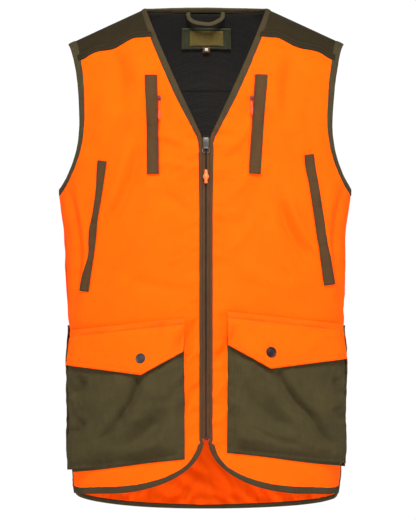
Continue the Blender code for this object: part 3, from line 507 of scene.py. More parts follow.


# The orange cloth's steady red glow stands in for its fluorescence and is partly painted light: it keeps
# shaded cloth bright red whatever light reaches it.
ORANGE = woven(
    "blaze_orange_cloth", (1.0, 0.109, 0.0), 0.9, 0.07, 0.06, 0.3, 0.03, ((1.0, 0.03, 0.0), 0.35),
)
OLIVE = woven("olive_canvas", (0.060, 0.0465, 0.0185), 1.1, 0.13, 0.12, 0.45, 0.12)
YOKE = woven("shoulder_canvas", (0.028, 0.0200, 0.0085), 1.1, 0.13, 0.12, 0.45, 0.12)
WELT = woven("welt_cloth", (0.084, 0.044, 0.0175), 1.0, 0.12, 0.10, 0.4, 0.1)
TAPE = woven("binding_tape", (0.062, 0.043, 0.020), 0.8, 0.14, 0.10, 0.5, 0.12, twill=False)
ARM_CLOTH = woven("armhole_tape", (0.062, 0.049, 0.023), 0.8, 0.14, 0.10, 0.5, 0.12, twill=False)
EDGE_TAPE = woven("edge_tape", (0.085, 0.068, 0.034), 0.8, 0.14, 0.10, 0.5, twill=False)
redden_near_zip(TAPE, (1.5, 1.02, 0.95))
LINING = netting("mesh_lining", (0.0100, 0.0090, 0.0076))
PATCH = woven("label_cloth", (0.062, 0.068, 0.034), 0.7, 0.15, 0.12, 0.4, 0.1)
KHAKI = woven("khaki_insert", (0.19, 0.138, 0.040), 0.6, 0.14, 0.14, 0.4)
TAG = woven("tag_cloth", (0.14, 0.07, 0.022), 0.6, 0.1, 0.1, 0.4)
WHITE = woven("tag_square", (0.75, 0.72, 0.68), 0.6, 0.1, 0.1, 0.3)
# The orange thread's steady red glow stands in for fluorescence and is partly painted light, bright red
# also in shade.
THREAD_ORANGE = moulded("orange_thread", (0.75, 0.045, 0.0), 0.6, 0, 0.1, ((1.0, 0.02, 0.0), 0.12))
THREAD_OLIVE = moulded("olive_thread", (0.030, 0.024, 0.013), 0.7)
GUNMETAL = moulded("gunmetal", (0.062, 0.050, 0.052), 0.5, 0.9, 0.2)
DARK_METAL = moulded("blackened_metal", (0.035, 0.024, 0.024), 0.45, 0.9, 0.2)
SILVER = moulded("worn_nickel", (0.20, 0.19, 0.175), 0.35, 1.0, 0.2)
COIL = moulded("zip_coil", (0.028, 0.020, 0.014), 0.45)
# Dark red for the chest zips' coils and sliders: along the welt's edge it is the coil's own colour and
# painted shadow, the shade under that edge.
CHEST_COIL_AND_SHADE = moulded("chest_zip_coil", (0.13, 0.012, 0.008), 0.5, 0, 0.2)
CORD = woven("braided_cord", (0.030, 0.024, 0.022), 0.5, 0.2, 0.2, 0.8, twill=True)
# The puller and toggle glow red: a steady glow standing in for fluorescent plastic, partly painted light
# that keeps them bright in shade.
PULLER = moulded("red_orange_puller", (1.0, 0.055, 0.014), 0.38, 0, 0.05, ((1.0, 0.05, 0.015), 0.3))
TOGGLE = moulded("orange_moulding", (1.0, 0.16, 0.03), 0.42, 0, 0.05, ((1.0, 0.06, 0.01), 0.35))


# ---------------------------------------------------------------- meshes


def add_mesh(name, verts, faces, finish, uvs=None):
    mesh = bpy.data.meshes.new(name)
    mesh.from_pydata((np.asarray(verts) * MM).tolist(), [], faces)
    if uvs is None:
        uvs = np.asarray(verts)[:, [0, 2]]
    layer = mesh.uv_layers.new(name="UVMap")
    corners = np.zeros(len(mesh.loops), np.int32)
    mesh.loops.foreach_get("vertex_index", corners)
    layer.data.foreach_set("uv", (np.asarray(uvs)[corners] * MM).astype(np.float32).ravel())
    mesh.shade_smooth()
    mesh.materials.append(finish)
    made = bpy.data.objects.new(name, mesh)
    bpy.context.scene.collection.objects.link(made)
    return made


def turn_faces_out(made):
    bm = bmesh.new()
    bm.from_mesh(made.data)
    bmesh.ops.recalc_face_normals(bm, faces=bm.faces)
    bm.to_mesh(made.data)
    bm.free()
    return made


def skin(stations, sides):
    """The faces of a closed skin over rings of points, with flat ends."""
    faces = []
    for i in range(0, (stations - 1) * sides, sides):
        for j in range(sides):
            k = (j + 1) % sides
            faces.append((i + j, i + k, i + sides + k, i + sides + j))
    return faces + [tuple(range(sides))[::-1], tuple((stations - 1) * sides + k for k in range(sides))]


def settle(made, body, bend=None, stands_for=None):
    """The piece rides on its body, or keeps its place when a bend is given, and stands for the CAD node of
    its own name.
    """
    if bend:
        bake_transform(made)
    else:
        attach(made, body)
    replaced = stands_for or made.name.split(".")[0]
    if replaced in frame["nodes"]:
        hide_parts(replaced)


def front_bend(label):
    return "torso", f"front_{label}", BEND_START, BEND_END


FLAP_HINGES = {
    joint["child"]: (Vector(joint["pos_m"]), Vector(joint["axis"]))
    for joint in frame["joints"]
    if joint["name"].startswith("flap_lift")
}


def flap_bend(label):
    """The strip below a flap's seam, square to its hinge line, given as two bodies and two points; the flap
    is not bent by it.
    """
    place, axis = FLAP_HINGES[f"flap_{label}"]
    down = Vector((0, 0, -1)) - axis * Vector((0, 0, -1)).dot(axis)
    start = place + down.normalized() * 0.003
    return f"front_{label}", f"flap_{label}", start, start + down.normalized() * FLAP_BEND


# A pattern is laid flat at this many millimetres per radian
ARC = 180.0
# The rows of a sheet's triangles stand this share of a step apart
ROW_GAP = 0.866


def resampled(outline, step):
    """The closed outline, laid flat, with no side longer than the step."""
    flat = outline * (ARC, 1.0)
    made = []
    for a, b in zip(flat, np.roll(flat, -1, axis=0)):
        length = np.linalg.norm(b - a)
        if length < 0.05:
            continue
        count = max(1, math.ceil(length / step))
        made += [a + (b - a) * k / count for k in range(count)]
    return np.array(made)


def edge_distance(spots, flat):
    """For flat points: whether each is inside a closed outline, how far off it, and how far round it."""
    inside = np.zeros(len(spots), bool)
    nearest = np.full(len(spots), 1e9)
    place = np.zeros(len(spots))
    run = 0.0
    x, y = spots.T
    for (x0, y0), (x1, y1) in zip(flat, np.roll(flat, -1, axis=0)):
        dx, dy = x1 - x0, y1 - y0
        crosses = (y0 > y) != (y1 > y)
        if dy:
            inside ^= crosses & (x < x0 + dx * (y - y0) / dy)
        squared = dx * dx + dy * dy
        t = np.clip(((x - x0) * dx + (y - y0) * dy) / squared, 0, 1)
        distance = np.hypot(x - x0 - t * dx, y - y0 - t * dy)
        closer = distance < nearest
        nearest = np.where(closer, distance, nearest)
        place = np.where(closer, run + t * math.sqrt(squared), place)
        run += math.sqrt(squared)
    return inside, nearest, place


def triangulated(outline, step):
    """Pattern points, faces, distance from the edge, and distance round the edge."""
    flat = resampled(np.asarray(outline, float), step)
    low, high = flat.min(0), flat.max(0)
    rows = np.arange(low[1] + step * 0.5, high[1], step * ROW_GAP)
    columns = np.arange(low[0], high[0] + step, step)
    grid = np.array([(x + (step / 2 if i % 2 else 0), y) for i, y in enumerate(rows) for x in columns])
    inside, nearest, _ = edge_distance(grid, flat)
    grid = grid[inside & (nearest > 0.5 * step)]
    spots = np.concatenate((flat, grid))
    edges = [(i, (i + 1) % len(flat)) for i in range(len(flat))]
    verts, _, faces, *_ = delaunay_2d_cdt([Vector(s) for s in spots], edges, [], 1, 1e-5)
    made = np.array([tuple(v) for v in verts])
    _, nearest, place = edge_distance(made, flat)
    return made / (ARC, 1.0), [tuple(reversed(f)) for f in faces], nearest, place


def sheet(name, outline, step, lift, finish, thick=SHELL_THICK):
    """A cloth piece with its own thickness. lift(p, edge, place) is its height above the form."""
    p, faces, edge, place = triangulated(outline, step)
    height = lift(p, edge, place) if callable(lift) else lift + drape(p)
    verts = on_form(p) + outward(p) * height[:, None]
    made = add_mesh(name, verts, faces, finish, np.stack((girth(p[:, 0]), -p[:, 1]), -1))
    shell = made.modifiers.new("thickness", "SOLIDIFY")
    shell.thickness = thick * MM
    shell.offset = 0.0
    return made


def follow(lift):
    """A layer that keeps its distance under the outer cloth, folds and all."""
    return lambda p, edge, place: lift + drape(p) + np.minimum(folds(p), 0.0) * (0.4 if lift < -8 else 0.7)


def arc_lengths(line):
    return np.concatenate(([0.0], np.cumsum(np.linalg.norm(np.diff(line, axis=0), axis=1))))


def read_along(line, run, at):
    """The line's values at some distances along it."""
    return np.stack([np.interp(at, run, column) for column in line.T], -1)


def even(path, step):
    """A pattern path, resampled evenly over the form."""
    path = np.asarray(path, float)
    run = arc_lengths(on_form(path))
    at = np.linspace(0, run[-1], max(2, int(run[-1] / step) + 1))
    return read_along(path, run, at), at


def inset(path, widths):
    """The path moved over the cloth, to the left of its direction seen from outside."""
    path = np.asarray(path, float)
    along, down = tangents(path)
    change = np.gradient(path, axis=0)
    run = along * change[:, :1] + down * change[:, 1:]
    sideways = np.cross(outward(path), unit(run)) * np.broadcast_to(widths, (len(path),))[:, None]
    moved = [(sideways * way).sum(1) / (way**2).sum(1) for way in (along, down)]
    made = path + np.stack(moved, -1)
    made[:, 1] = np.maximum(made[:, 1], 0.0)
    return made


def closed_profile(across, top, bottom):
    """A strip's closed outline of (across, height) points: over the top and back underneath."""
    under = np.stack((across, bottom), -1)[1:-1][::-1]
    return np.concatenate((np.stack((across, top), -1), under))


TAPE_SEAM = 0.82
TAPE_ACROSS = np.array((0, 0.03, 0.1, 0.22, 0.4, 0.58, 0.7, 0.77, 0.82, 0.87, 0.93, 0.98, 1.0))


def tape_profile(thick):
    """A folded tape's closed outline: (across, height) with a stitched groove near its inner edge."""
    rise = thick / 2 * (1 - np.abs(2 * TAPE_ACROSS - 1) ** 5) ** 0.5
    top = rise - 0.3 * hump(TAPE_ACROSS - TAPE_SEAM, 0.04)
    return closed_profile(TAPE_ACROSS, top, -rise)


def sweep(name, start, end, normals, profile, finish, ripple=None, uv_run=None):
    """A closed strip: the profile runs from the start line to the end line at each station."""
    across, rise = profile[:, 0], profile[:, 1]
    rise = rise[None, :] if ripple is None else rise[None, :] + ripple * (rise[None, :] > 0)
    verts = start[:, None] * (1 - across)[None, :, None] + end[:, None] * across[None, :, None]
    verts = verts + normals[:, None] * rise[:, :, None]
    n, m = len(start), len(profile)
    run = arc_lengths(start) if uv_run is None else uv_run
    width = np.linalg.norm(end - start, axis=1)
    uvs = np.stack(np.broadcast_arrays(across[None] * width[:, None], run[:, None]), -1).reshape(-1, 2)
    return turn_faces_out(add_mesh(name, verts.reshape(-1, 3), skin(n, m), finish, uvs))


def tape(name, path, widths, finish, thick=TAPE_THICK, lift=0.0, seed=1):
    """A binding folded over a cloth edge, with the small puckers of its stitching."""
    fine, at = even(path, 2.6)
    if np.ndim(widths):
        rough_run = arc_lengths(on_form(np.asarray(path, float)))
        widths = np.interp(at, rough_run, widths)
    other = inset(fine, widths)
    normals = outward(fine)
    height = lift + shell_relief(inset(fine, np.broadcast_to(widths, (len(fine),)) * 0.6))
    start = on_form(fine) + normals * height[:, None]
    end = on_form(other) + normals * height[:, None]
    ripple = 0.16 * noise(at[:, None] / 4.2, TAPE_ACROSS.mean(), seed)
    ripple = ripple + 0.12 * noise(at[:, None] / 11, 3, seed)
    made = sweep(name, start, end, normals, tape_profile(thick), finish, ripple, at)
    return made, start + (end - start) * TAPE_SEAM + normals * (thick / 2 - 0.15), normals


# ---------------------------------------------------------------- stitching

# Rows of stitches for each thread: (name of the piece, body)
THREADS = {}
STITCH_LENGTH, STITCH_RADIUS = 2.7, 0.45


def stitch(thread, line, normals, pitch=3.8):
    """A row of stitches along a line of points, kept until all the rows of its thread are known."""
    run = arc_lengths(line)
    if run[-1] < 2 * pitch:
        return
    at = np.arange(pitch / 2, run[-1] - pitch / 2, pitch)
    place = read_along(line, run, at)
    along = unit(read_along(line, run, at + 0.6) - place)
    normal = unit(read_along(normals, run, at))
    THREADS.setdefault(thread, []).append((place, along, normal))


def stitch_sheet(thread, row, flat, lift, proud):
    """A row of stitches that stands just proud of a sheet's face."""
    fine, _ = even(row, 3.0)
    _, edge, place = edge_distance(fine * (ARC, 1.0), flat)
    normals = outward(fine)
    stitch(thread, on_form(fine) + normals * (lift(fine, edge, place) + proud)[:, None], normals)


def rounded_stitches(rows):
    """Vertices and faces of all the stitches in some rows: each is a short, tapered thread."""
    ring = np.array([(math.cos(a), math.sin(a)) for a in np.linspace(0, 2 * math.pi, 6)[:-1]])
    stations = np.array(((-0.5, 0.35, -0.25), (-0.3, 1.0, 0.15), (0.3, 1.0, 0.15), (0.5, 0.35, -0.25)))
    sides, count = len(ring), len(stations)
    one = skin(count, sides)
    verts, faces, made = [], [], 0
    for place, along, normal in rows:
        across = np.cross(along, normal)
        for reach, scale, rise in stations:
            for x, y in ring:
                spot = place + along * (reach * STITCH_LENGTH)
                spot = spot + across * (x * STITCH_RADIUS * scale)
                verts.append(spot + normal * ((y * scale * 0.7 + rise) * STITCH_RADIUS))
        block = np.stack(verts[-sides * count :], 1).reshape(-1, 3)
        verts[-sides * count :] = [block]
        size = sides * count
        faces += [tuple(made + i * size + k for k in f) for i in range(len(place)) for f in one]
        made += len(place) * size
    return np.concatenate(verts), faces


def make_stitching():
    threads = {"front": (front_bend, THREAD_OLIVE), "flap": (flap_bend, THREAD_ORANGE)}
    for (name, body), rows in THREADS.items():
        verts, faces = rounded_stitches(rows)
        part, _, label = body.partition("_")
        find_bend, finish = threads.get(part, (None, THREAD_OLIVE))
        made = add_mesh(name, verts, faces, finish)
        settle(made, body, bend=find_bend(label) if find_bend else None)


def front_thread(label):
    return f"stitching_olive_front_{label}", f"front_{label}"


BACK_THREAD = ("stitching_olive_back", "torso")


def stitch_path(thread, path, lift):
    fine, _ = even(path, 3.0)
    stitch(thread, surface(fine, lift, shell_relief), outward(fine))


# ---------------------------------------------------------------- seams and edges


def front_edge():
    """The front's free edge from the shoulder down the neck and the centre, then round the hem."""
    t = np.linspace(0.0, 0.985, 60) ** 1.6
    neck_x = NECK_HALF - (NECK_HALF - CENTRE_EDGE) * t + 2.6 * np.sin(math.pi * t**0.75)
    neck = at_front(neck_x, NECK_Z - (NECK_Z - ZIP_TOP_Z) * t)
    centre = at_front(CENTRE_EDGE, np.linspace(ZIP_TOP_Z - 6, ZIP_BOTTOM_Z - 1.9, 60))
    middle, radius_x, radius_z = HEM_CORNER
    angle = np.linspace(math.radians(2.9), QUARTER, 60)
    corner = at_front(middle - radius_x * np.cos(angle), ZIP_BOTTOM_Z - radius_z * np.sin(angle))
    theta = np.linspace(corner[-1, 0], QUARTER, 40)[1:]
    share = (theta - corner[-1, 0]) / (QUARTER - corner[-1, 0])
    corner_z = ZIP_BOTTOM_Z - radius_z
    z = corner_z + (FRONT_HEM_DIP - corner_z) * smooth(share * 1.8)
    z += (SIDE_HEM_Z - FRONT_HEM_DIP) * smooth(share * 2 - 1)
    widths = np.concatenate((
        7.0 + (NECK_TAPE - 7.0) * smooth(np.linspace(0, 2.5, 60)),
        np.full(60, CENTRE_TAPE),
        CENTRE_TAPE + (HEM_TAPE - CENTRE_TAPE) * smooth(14 * (angle - angle[0])),
        np.full(39, HEM_TAPE),
    ))
    widths[45:75] = np.interp(np.arange(30), (0, 14, 29), (widths[45], 6.5, CENTRE_TAPE))
    return np.concatenate((neck, centre, corner, at_angle(theta, z))), widths


def armhole():
    """The front armhole's edge, from its foot at the side seam up to the shoulder ridge."""
    angle = np.linspace(0, QUARTER, 60)
    theta = QUARTER - (QUARTER - ARM_WAIST) * np.sin(angle)
    lower = at_angle(theta, ARM_WAIST_Z - (ARM_WAIST_Z - ARMPIT_Z) * np.cos(angle))
    t = np.linspace(0, 1, 60)[1:]
    tip_z = 695.9
    upper_z = ARM_WAIST_Z + (tip_z - ARM_WAIST_Z) * (1 - (1 - t) ** 1.4)
    return np.concatenate((lower, at_angle(ARM_WAIST + (ARM_TIP - ARM_WAIST) * t * t, upper_z)))


def back_hem():
    theta = np.linspace(QUARTER, 3 * QUARTER, 160)
    level = np.abs(np.cos(theta))
    return at_angle(theta, SIDE_HEM_Z * (1 - level ** (0.74 - 0.14 * np.sin(theta))) - 1.5 * level)


def back_neck():
    t = np.linspace(-1, 1, 120)
    x = -NECK_HALF * np.sign(t) * np.abs(t) ** 0.7
    return at_back(x, NECK_Z + NECK_ARCH * (1 - (x / NECK_HALF) ** 2))


def mirrored(path, side):
    return path * (side, 1.0)


def hung(path, side):
    return path * (side, 1.0) - (0.0, side * RISE)


def unhung(p):
    side = np.where(p[..., 0] >= 0, 1.0, -1.0)
    return points(np.abs(p[..., 0]), p[..., 1] + side * RISE)


def to_back(path):
    return points(math.pi - path[:, 0], path[:, 1])


def other_side(path):
    return points(2 * math.pi - path[:, 0], path[:, 1])


def yoke_seam_z(x):
    x0, z0, x1, z1 = YOKE_SEAM
    x = np.abs(x)
    wave = 2.6 * np.sin((x - x0) / 10.5) * smooth((x - x0 - 4) / 20) * smooth((x1 - x) / 20)
    return z0 + (z1 - z0) * np.maximum(0.0, (x - x0) / (x1 - x0)) ** YOKE_SEAM_SAG + wave


def cut_at(path, seam_z, keep_above):
    """The part of a path above or below a seam, with a point on the seam."""
    x, z = seen(path)
    height = z - seam_z(x)
    over = height > 0
    cross = np.nonzero(over[1:] != over[:-1])[0][0]
    t = height[cross] / (height[cross] - height[cross + 1])
    spot = path[cross] + (path[cross + 1] - path[cross]) * t
    first_above = over[0]
    if keep_above == first_above:
        return np.vstack((path[: cross + 1], spot))
    return np.vstack((spot, path[cross + 1 :]))


def along_seam(start, end, seam_z, place, shift=0.0):
    """The seam between two points of an outline, without its ends."""
    x = np.linspace(seen(start)[0], seen(end)[0], 60)[1:-1]
    return place(x, seam_z(x) + shift)


# ---------------------------------------------------------------- fronts


def edge_puckers(edge, place, reach, size, wave, seed):
    """Gathers that run in from a stitched edge and fade into the cloth."""
    fade = np.exp(-np.maximum(edge - 2, 0) / reach) * smooth(edge / 5)
    coarse = noise(place / wave, edge / 40, seed)
    return size * fade * (coarse + 0.4 * noise(place / (wave * 0.45), edge / 20, seed + 1))


def front_panel(label, side):
    edge, widths = front_edge()
    neck = inset(edge, np.maximum(widths - 4.0, 1.5))
    arm = inset(armhole(), ARM_TAPE - 4.0)
    neck = cut_at(neck, lambda x: yoke_seam_z(x) + 2.5, False)
    arm = cut_at(arm, lambda x: yoke_seam_z(x) + 2.5, False)
    side_line = at_angle(QUARTER + 0.02, np.linspace(SIDE_HEM_Z + 3, ARMPIT_Z - 3, 30))
    seam = along_seam(arm[-1], neck[0], yoke_seam_z, at_front, 2.5)
    outline = np.concatenate((neck[:-1], side_line, arm[1:], seam))

    def lift(p, edge_gap, place):
        _, z = seen(p)
        hem = smooth((150 - z) / 60)
        return shell_relief(p) + edge_puckers(edge_gap, place, 11, 0.45 + 0.6 * hem, 9.5, 31 + side)

    made = sheet(f"front_panel_{label}", mirrored(outline, side)[::side], 3.4, lift, ORANGE)
    settle(made, None, front_bend(label))


def front_lining(label, side):
    edge, widths = front_edge()
    neck = cut_at(inset(edge, widths + 3.0), lambda x: yoke_seam_z(x) - 2.0, False)
    arm = cut_at(inset(armhole(), ARM_TAPE + 3.0), lambda x: yoke_seam_z(x) - 2.0, False)
    seam = along_seam(arm[-1], neck[0], yoke_seam_z, at_front, -2.0)
    outline = np.concatenate((neck, arm, seam))
    outline = mirrored(outline, side)[::side]
    made = sheet(f"front_lining_{label}", outline, 7.0, follow(LINING_LIFT), LINING, 0.8)
    settle(made, None, front_bend(label))


def front_tapes(label, side):
    edge, widths = front_edge()
    bend = front_bend(label)
    for name, path, width, finish, seed, slot in (
        ("front_binding", edge, widths, TAPE, 41, "brown_tape"),
        ("armhole_binding_front", armhole(), ARM_TAPE, ARM_CLOTH, 43, "olive_cloth"),
    ):
        path = mirrored(path, side)
        made, line, normals = tape(f"{name}_{label}", path, side * width, finish, seed=seed + side)
        settle(made, None, bend)
        stitch(front_thread(label), line, normals)


def yoke(label, side):
    edge, widths = front_edge()
    neck = cut_at(inset(edge, np.maximum(widths - 4.0, 1.5)), yoke_seam_z, True)
    arm = cut_at(inset(armhole(), ARM_TAPE - 4.0), yoke_seam_z, True)
    seam = along_seam(neck[-1], arm[0], yoke_seam_z, at_front)
    ridge = points(np.linspace(arm[-1, 0], neck[0, 0], 40)[1:-1], 0.0)
    outline = np.concatenate((neck, seam, arm, ridge))

    def lift(p, edge_gap, place):
        soft = creases(girth(p[:, 0]), p[:, 1], 0.6, 26, 90, 51 + side)
        ramped = smooth(edge_gap / 14)
        x, z = seen(p)
        lap = 1.3 * smooth((yoke_seam_z(x) + 14 - z) / 8)
        return shell_relief(p) + 0.55 * soft * ramped + lap

    made = sheet(f"shoulder_yoke_{label}", mirrored(outline, side)[::side], 3.2, lift, YOKE)
    settle(made, None, front_bend(label))
    for gap in (2.2, 7.5):
        row = mirrored(along_seam(neck[-1], arm[0], yoke_seam_z, at_front, gap), side)
        stitch_path(front_thread(label), row, 2.15)


def strip_sides(top, bottom, inner, outer, place, count=90):
    """A strip's two long edges, at their distances inner and outer from its middle line on the front."""
    t = np.linspace(0, 1, count)
    run = np.array((top[0] - bottom[0], top[1] - bottom[1]))
    across = np.array((run[1], -run[0])) / np.linalg.norm(run)
    middle = np.outer(1 - t, top) + np.outer(t, bottom)
    edges = [middle + across * np.broadcast_to(gap, (count,))[:, None] for gap in (inner, outer)]
    return [place(at_front(edge[:, 0], edge[:, 1])) for edge in edges]


def welt_profile(thick):
    """A welt's closed outline: a folded strip with soft edges and two shallow stitched grooves."""
    across = np.array((0, 0.02, 0.07, 0.12, 0.17, 0.3, 0.5, 0.7, 0.83, 0.88, 0.93, 0.98, 1.0))
    rise = thick / 2 * (1 - np.abs(2 * across - 1) ** 9) ** 0.5
    grooves = hump(across - 0.12, 0.03) + hump(across - 0.88, 0.03)
    return closed_profile(across, rise - 0.28 * grooves, -rise)


def welt(name, edges, lift, thick, finish, seed, gape=None, crease_places=()):
    """A folded cloth strip between its inner and outer edges, with a few creases across it."""
    inner, outer = edges
    normals = outward(inner)
    run = arc_lengths(on_form(inner))
    share = run / run[-1]
    dent = sum(1.8 * depth * hump(share - where, 0.016) for where, depth in crease_places)
    base = lift + 0.25 * noise(run / 24, 0, seed)
    raised = 0.0 if gape is None else gape(share)
    start = on_form(inner) + normals * (base + shell_relief(inner))[:, None]
    end = on_form(outer) + normals * (base + shell_relief(outer) + raised)[:, None]
    ripple = (0.2 * noise(run / 9, 1, seed) - dent)[:, None]
    made = sweep(name, start, end, normals, welt_profile(thick), finish, ripple, run)
    rows = [start + (end - start) * a + normals * (thick / 2 - 0.12) for a in (0.12, 0.88)]
    return made, rows, normals


def chest_foot(side):
    return CHEST_BOTTOM[0] - side * CHEST_LEAN, CHEST_BOTTOM[1]


def chest_pocket(label, side):
    foot, half = chest_foot(side), CHEST_WELT_WIDTH / 2

    def strip(inner, outer, count=90):
        return strip_sides(CHEST_TOP, foot, inner, outer, lambda path: mirrored(path, side), count)

    creased = ((0.52, 0.45), (0.78, 0.2)) if side < 0 else ((0.2, 0.3), (0.6, 0.25))
    made, rows, normals = welt(
        f"chest_welt_{label}", strip(-half, half), WELT_LIFT + 1.2, 2.2, WELT, 61 + side, None, creased
    )
    settle(made, f"front_{label}")
    for row in rows:
        stitch(front_thread(label), row, normals)
    made, *_ = welt(f"chest_zip_{label}", strip(-half - 2.6, 1.0), 1.7, 1.0, ORANGE, 63)
    settle(made, f"front_{label}")
    # The chest zip's coil runs along the welt's edge; its dark red is partly painted shadow, the shade
    # under that edge.
    middle, _ = strip(-half - 0.5, half, 300)
    line = surface(middle, 2.6, shell_relief)
    teeth = coil(f"chest_zip_coil_{label}", line, outward(middle), 0.8, 1.5, CHEST_COIL_AND_SHADE)
    settle(teeth, f"front_{label}")
    bag = rectangle((CHEST_TOP[0] + 14, CHEST_TOP[1] - 16), (foot[0] + 14, foot[1] - 28), 78.0)
    bag = mirrored(bag, side)[::side]
    made = sheet(f"chest_pocket_bag_{label}", bag, 7.0, follow(CHEST_BAG_LIFT), LINING, 0.7)
    settle(made, f"front_{label}")


def rectangle(top, bottom, width):
    """A strip's outline on the front, anticlockwise on the pattern."""
    run = np.array((top[0] - bottom[0], top[1] - bottom[1]), float)
    run /= np.linalg.norm(run)
    across = np.array((run[1], -run[0])) * width / 2
    low, high = np.array(bottom, float), np.array(top, float)
    corners = np.array((low - across, high - across, high + across, low + across))
    return at_front(corners[:, 0], corners[:, 1])


def hand_welt_width(share, side):
    """The right welt narrows at the waist, where the vest folds, and the left one does so a little."""
    if side < 0:
        waist = 3.3 * hump(share - 0.72, 0.12)
        return 14.2 - 3.8 * smooth(share / 0.25) - waist + 2.8 * smooth((share - 0.8) / 0.2)
    return 13.6 + smooth(share / 0.2) - 2.0 * hump(share - 0.65, 0.17) + smooth((share - 0.85) / 0.15)


def hand_pocket(label, side):
    wide = hand_welt_width(np.linspace(0, 1, 90), side)
    edges = strip_sides(HAND_TOP, HAND_BOTTOM, -7.0, wide - 7.0, lambda path: hung(path, side))
    creased = ((0.27, 0.25), (0.47, 0.6), (0.58, 0.3), (0.68, 0.7), (0.8, 0.35)) if side < 0 else (
        (0.22, 0.4), (0.41, 0.5), (0.55, 0.3), (0.7, 0.5), (0.84, 0.3))
    made, rows, normals = welt(
        f"hand_welt_{label}", edges, WELT_LIFT, 2.4, WELT, 71 + side,
        lambda share: 1.2 * hump(share - 0.6, 0.25), creased,
    )
    settle(made, f"front_{label}")
    for row in rows:
        stitch(front_thread(label), row, normals)
    bag = rectangle((HAND_TOP[0] - 28, HAND_TOP[1] - 4), (HAND_BOTTOM[0] - 38, HAND_BOTTOM[1] - 14), 84.0)
    bag = hung(bag, side)[::side]
    made = sheet(f"hand_pocket_bag_{label}", bag, 7.0, follow(HAND_BAG_LIFT), LINING, 0.7)
    settle(made, f"front_{label}")


def across_line(ends, x):
    (x0, z0), (x1, z1) = ends
    return z0 + (z1 - z0) * (x - x0) / (x1 - x0)


def pocket_lift(p):
    """How far a lower pocket's face stands off the form."""
    q = unhung(p)
    x, z = seen(q)
    side_room = np.minimum(q[..., 0] - math.asin(0.15), math.radians(83) - q[..., 0]) * SIDE_ARC
    side_ramp = smooth((side_room + 2) / POCKET_RAMP)
    bottom_ramp = smooth((z - across_line(POCKET_BOTTOM, x)) / POCKET_RAMP)
    mouth_ramp = smooth((across_line(FLAP_TOP, x) - z) / MOUTH_RAMP)
    corner = 8.0 * smooth((x - 150) / 45) * smooth((150 - z) / 70) * (1 - side_ramp * bottom_ramp)
    return 3.0 + POCKET_BULGE * side_ramp * bottom_ramp * mouth_ramp + corner


def pocket_outline():
    x = np.linspace(FLAP_TOP[0][0] + 2, FLAP_TOP[1][0] - 3, 40)
    bottom_x = np.linspace(POCKET_BOTTOM[0][0], POCKET_BOTTOM[1][0], 40)
    bottom = at_front(bottom_x, across_line(POCKET_BOTTOM, bottom_x))
    top = at_front(x, across_line(FLAP_TOP, x) - 10)
    return np.concatenate((bottom, top[::-1]))


def pocket_folds(p, side):
    """The slack of a lower pocket: long slanting folds from the flap's point to the outer corner."""
    q = unhung(p)
    u, v = girth(q[:, 0]), q[:, 1]
    slant = creases(u, v, 0.95 if side < 0 else 0.8, 34, 150, 83 + 4 * side)
    cross = creases(u, v, -0.5, 26, 100, 91 + side)
    small = creases(u, v, 0.4, 13, 50, 95 + side)
    return 1.5 * slant + 1.1 * cross + 0.9 * small + sided_folds(p, RIGHT_POCKET_FOLDS, LEFT_POCKET_FOLDS)


def cargo_pocket(label, side):
    def lift(p, edge, place):
        rim = smooth(edge / 22)
        puckers = edge_puckers(edge, place, 12, 2.2, 10, 81 + side)
        hem = 1.9 * hump(edge - 7.5, 1.6)
        seat = shell_relief(p) + pocket_lift(p) - 1.4 * (1 - smooth(edge / 10))
        return seat + rim * pocket_folds(p, side) + puckers - hem

    made = sheet(f"cargo_pocket_{label}", hung(pocket_outline(), side)[::side], 2.9, lift, OLIVE)
    settle(made, f"front_{label}")
    x = np.linspace(POCKET_BOTTOM[0][0], POCKET_BOTTOM[1][0], 60)
    gusset = np.concatenate((
        at_front(x, across_line(POCKET_BOTTOM, x) - 3.5 * smooth((x - 60) / 120)),
        at_front(x, across_line(POCKET_BOTTOM, x) + 26)[::-1],
    ))
    gusset = hung(gusset, side)[::side]
    made = sheet(f"cargo_gusset_{label}", gusset, 3.4, lambda p, *_: shell_relief(p) + 1.5, OLIVE, 1.0)
    settle(made, f"front_{label}")
    stitch_pocket(label, side, lift)


def stitch_pocket(label, side, lift):
    """Rows of stitches round a lower pocket's sides and bottom, just proud of its face."""
    outline = hung(pocket_outline(), side)[::side]
    flat = resampled(outline, 2.9)
    for gap in (2.6, 8.2):
        x_in, x_out = POCKET_BOTTOM[0][0] + gap, POCKET_BOTTOM[1][0] - gap * 0.8
        down_x = np.full(50, x_in)
        z_low = across_line(POCKET_BOTTOM, x_in) + gap
        inner = at_front(down_x, np.linspace(across_line(FLAP_EDGE[:2], x_in) + 12, z_low, 50))
        x = np.linspace(x_in, x_out, 60)
        bottom = at_front(x, across_line(POCKET_BOTTOM, x) + gap)
        z_out = np.linspace(across_line(POCKET_BOTTOM, x_out) + gap, 222, 50)
        for row in (inner, bottom, at_front(x_out, z_out)):
            stitch_sheet(front_thread(label), hung(row, side), flat, lift, 0.75)


def flap_outline():
    inner, point, outer = FLAP_EDGE
    top_x = np.linspace(FLAP_TOP[1][0] - 1, FLAP_TOP[0][0], 40)
    low_a = np.linspace(inner[0], point[0], 20)
    low_b = np.linspace(point[0], outer[0] - 2, 30)[1:]
    return np.concatenate((
        at_front(top_x, across_line(FLAP_TOP, top_x)),
        at_front(low_a, across_line((inner, point), low_a)),
        at_front(low_b, across_line((point, outer), low_b)),
    ))


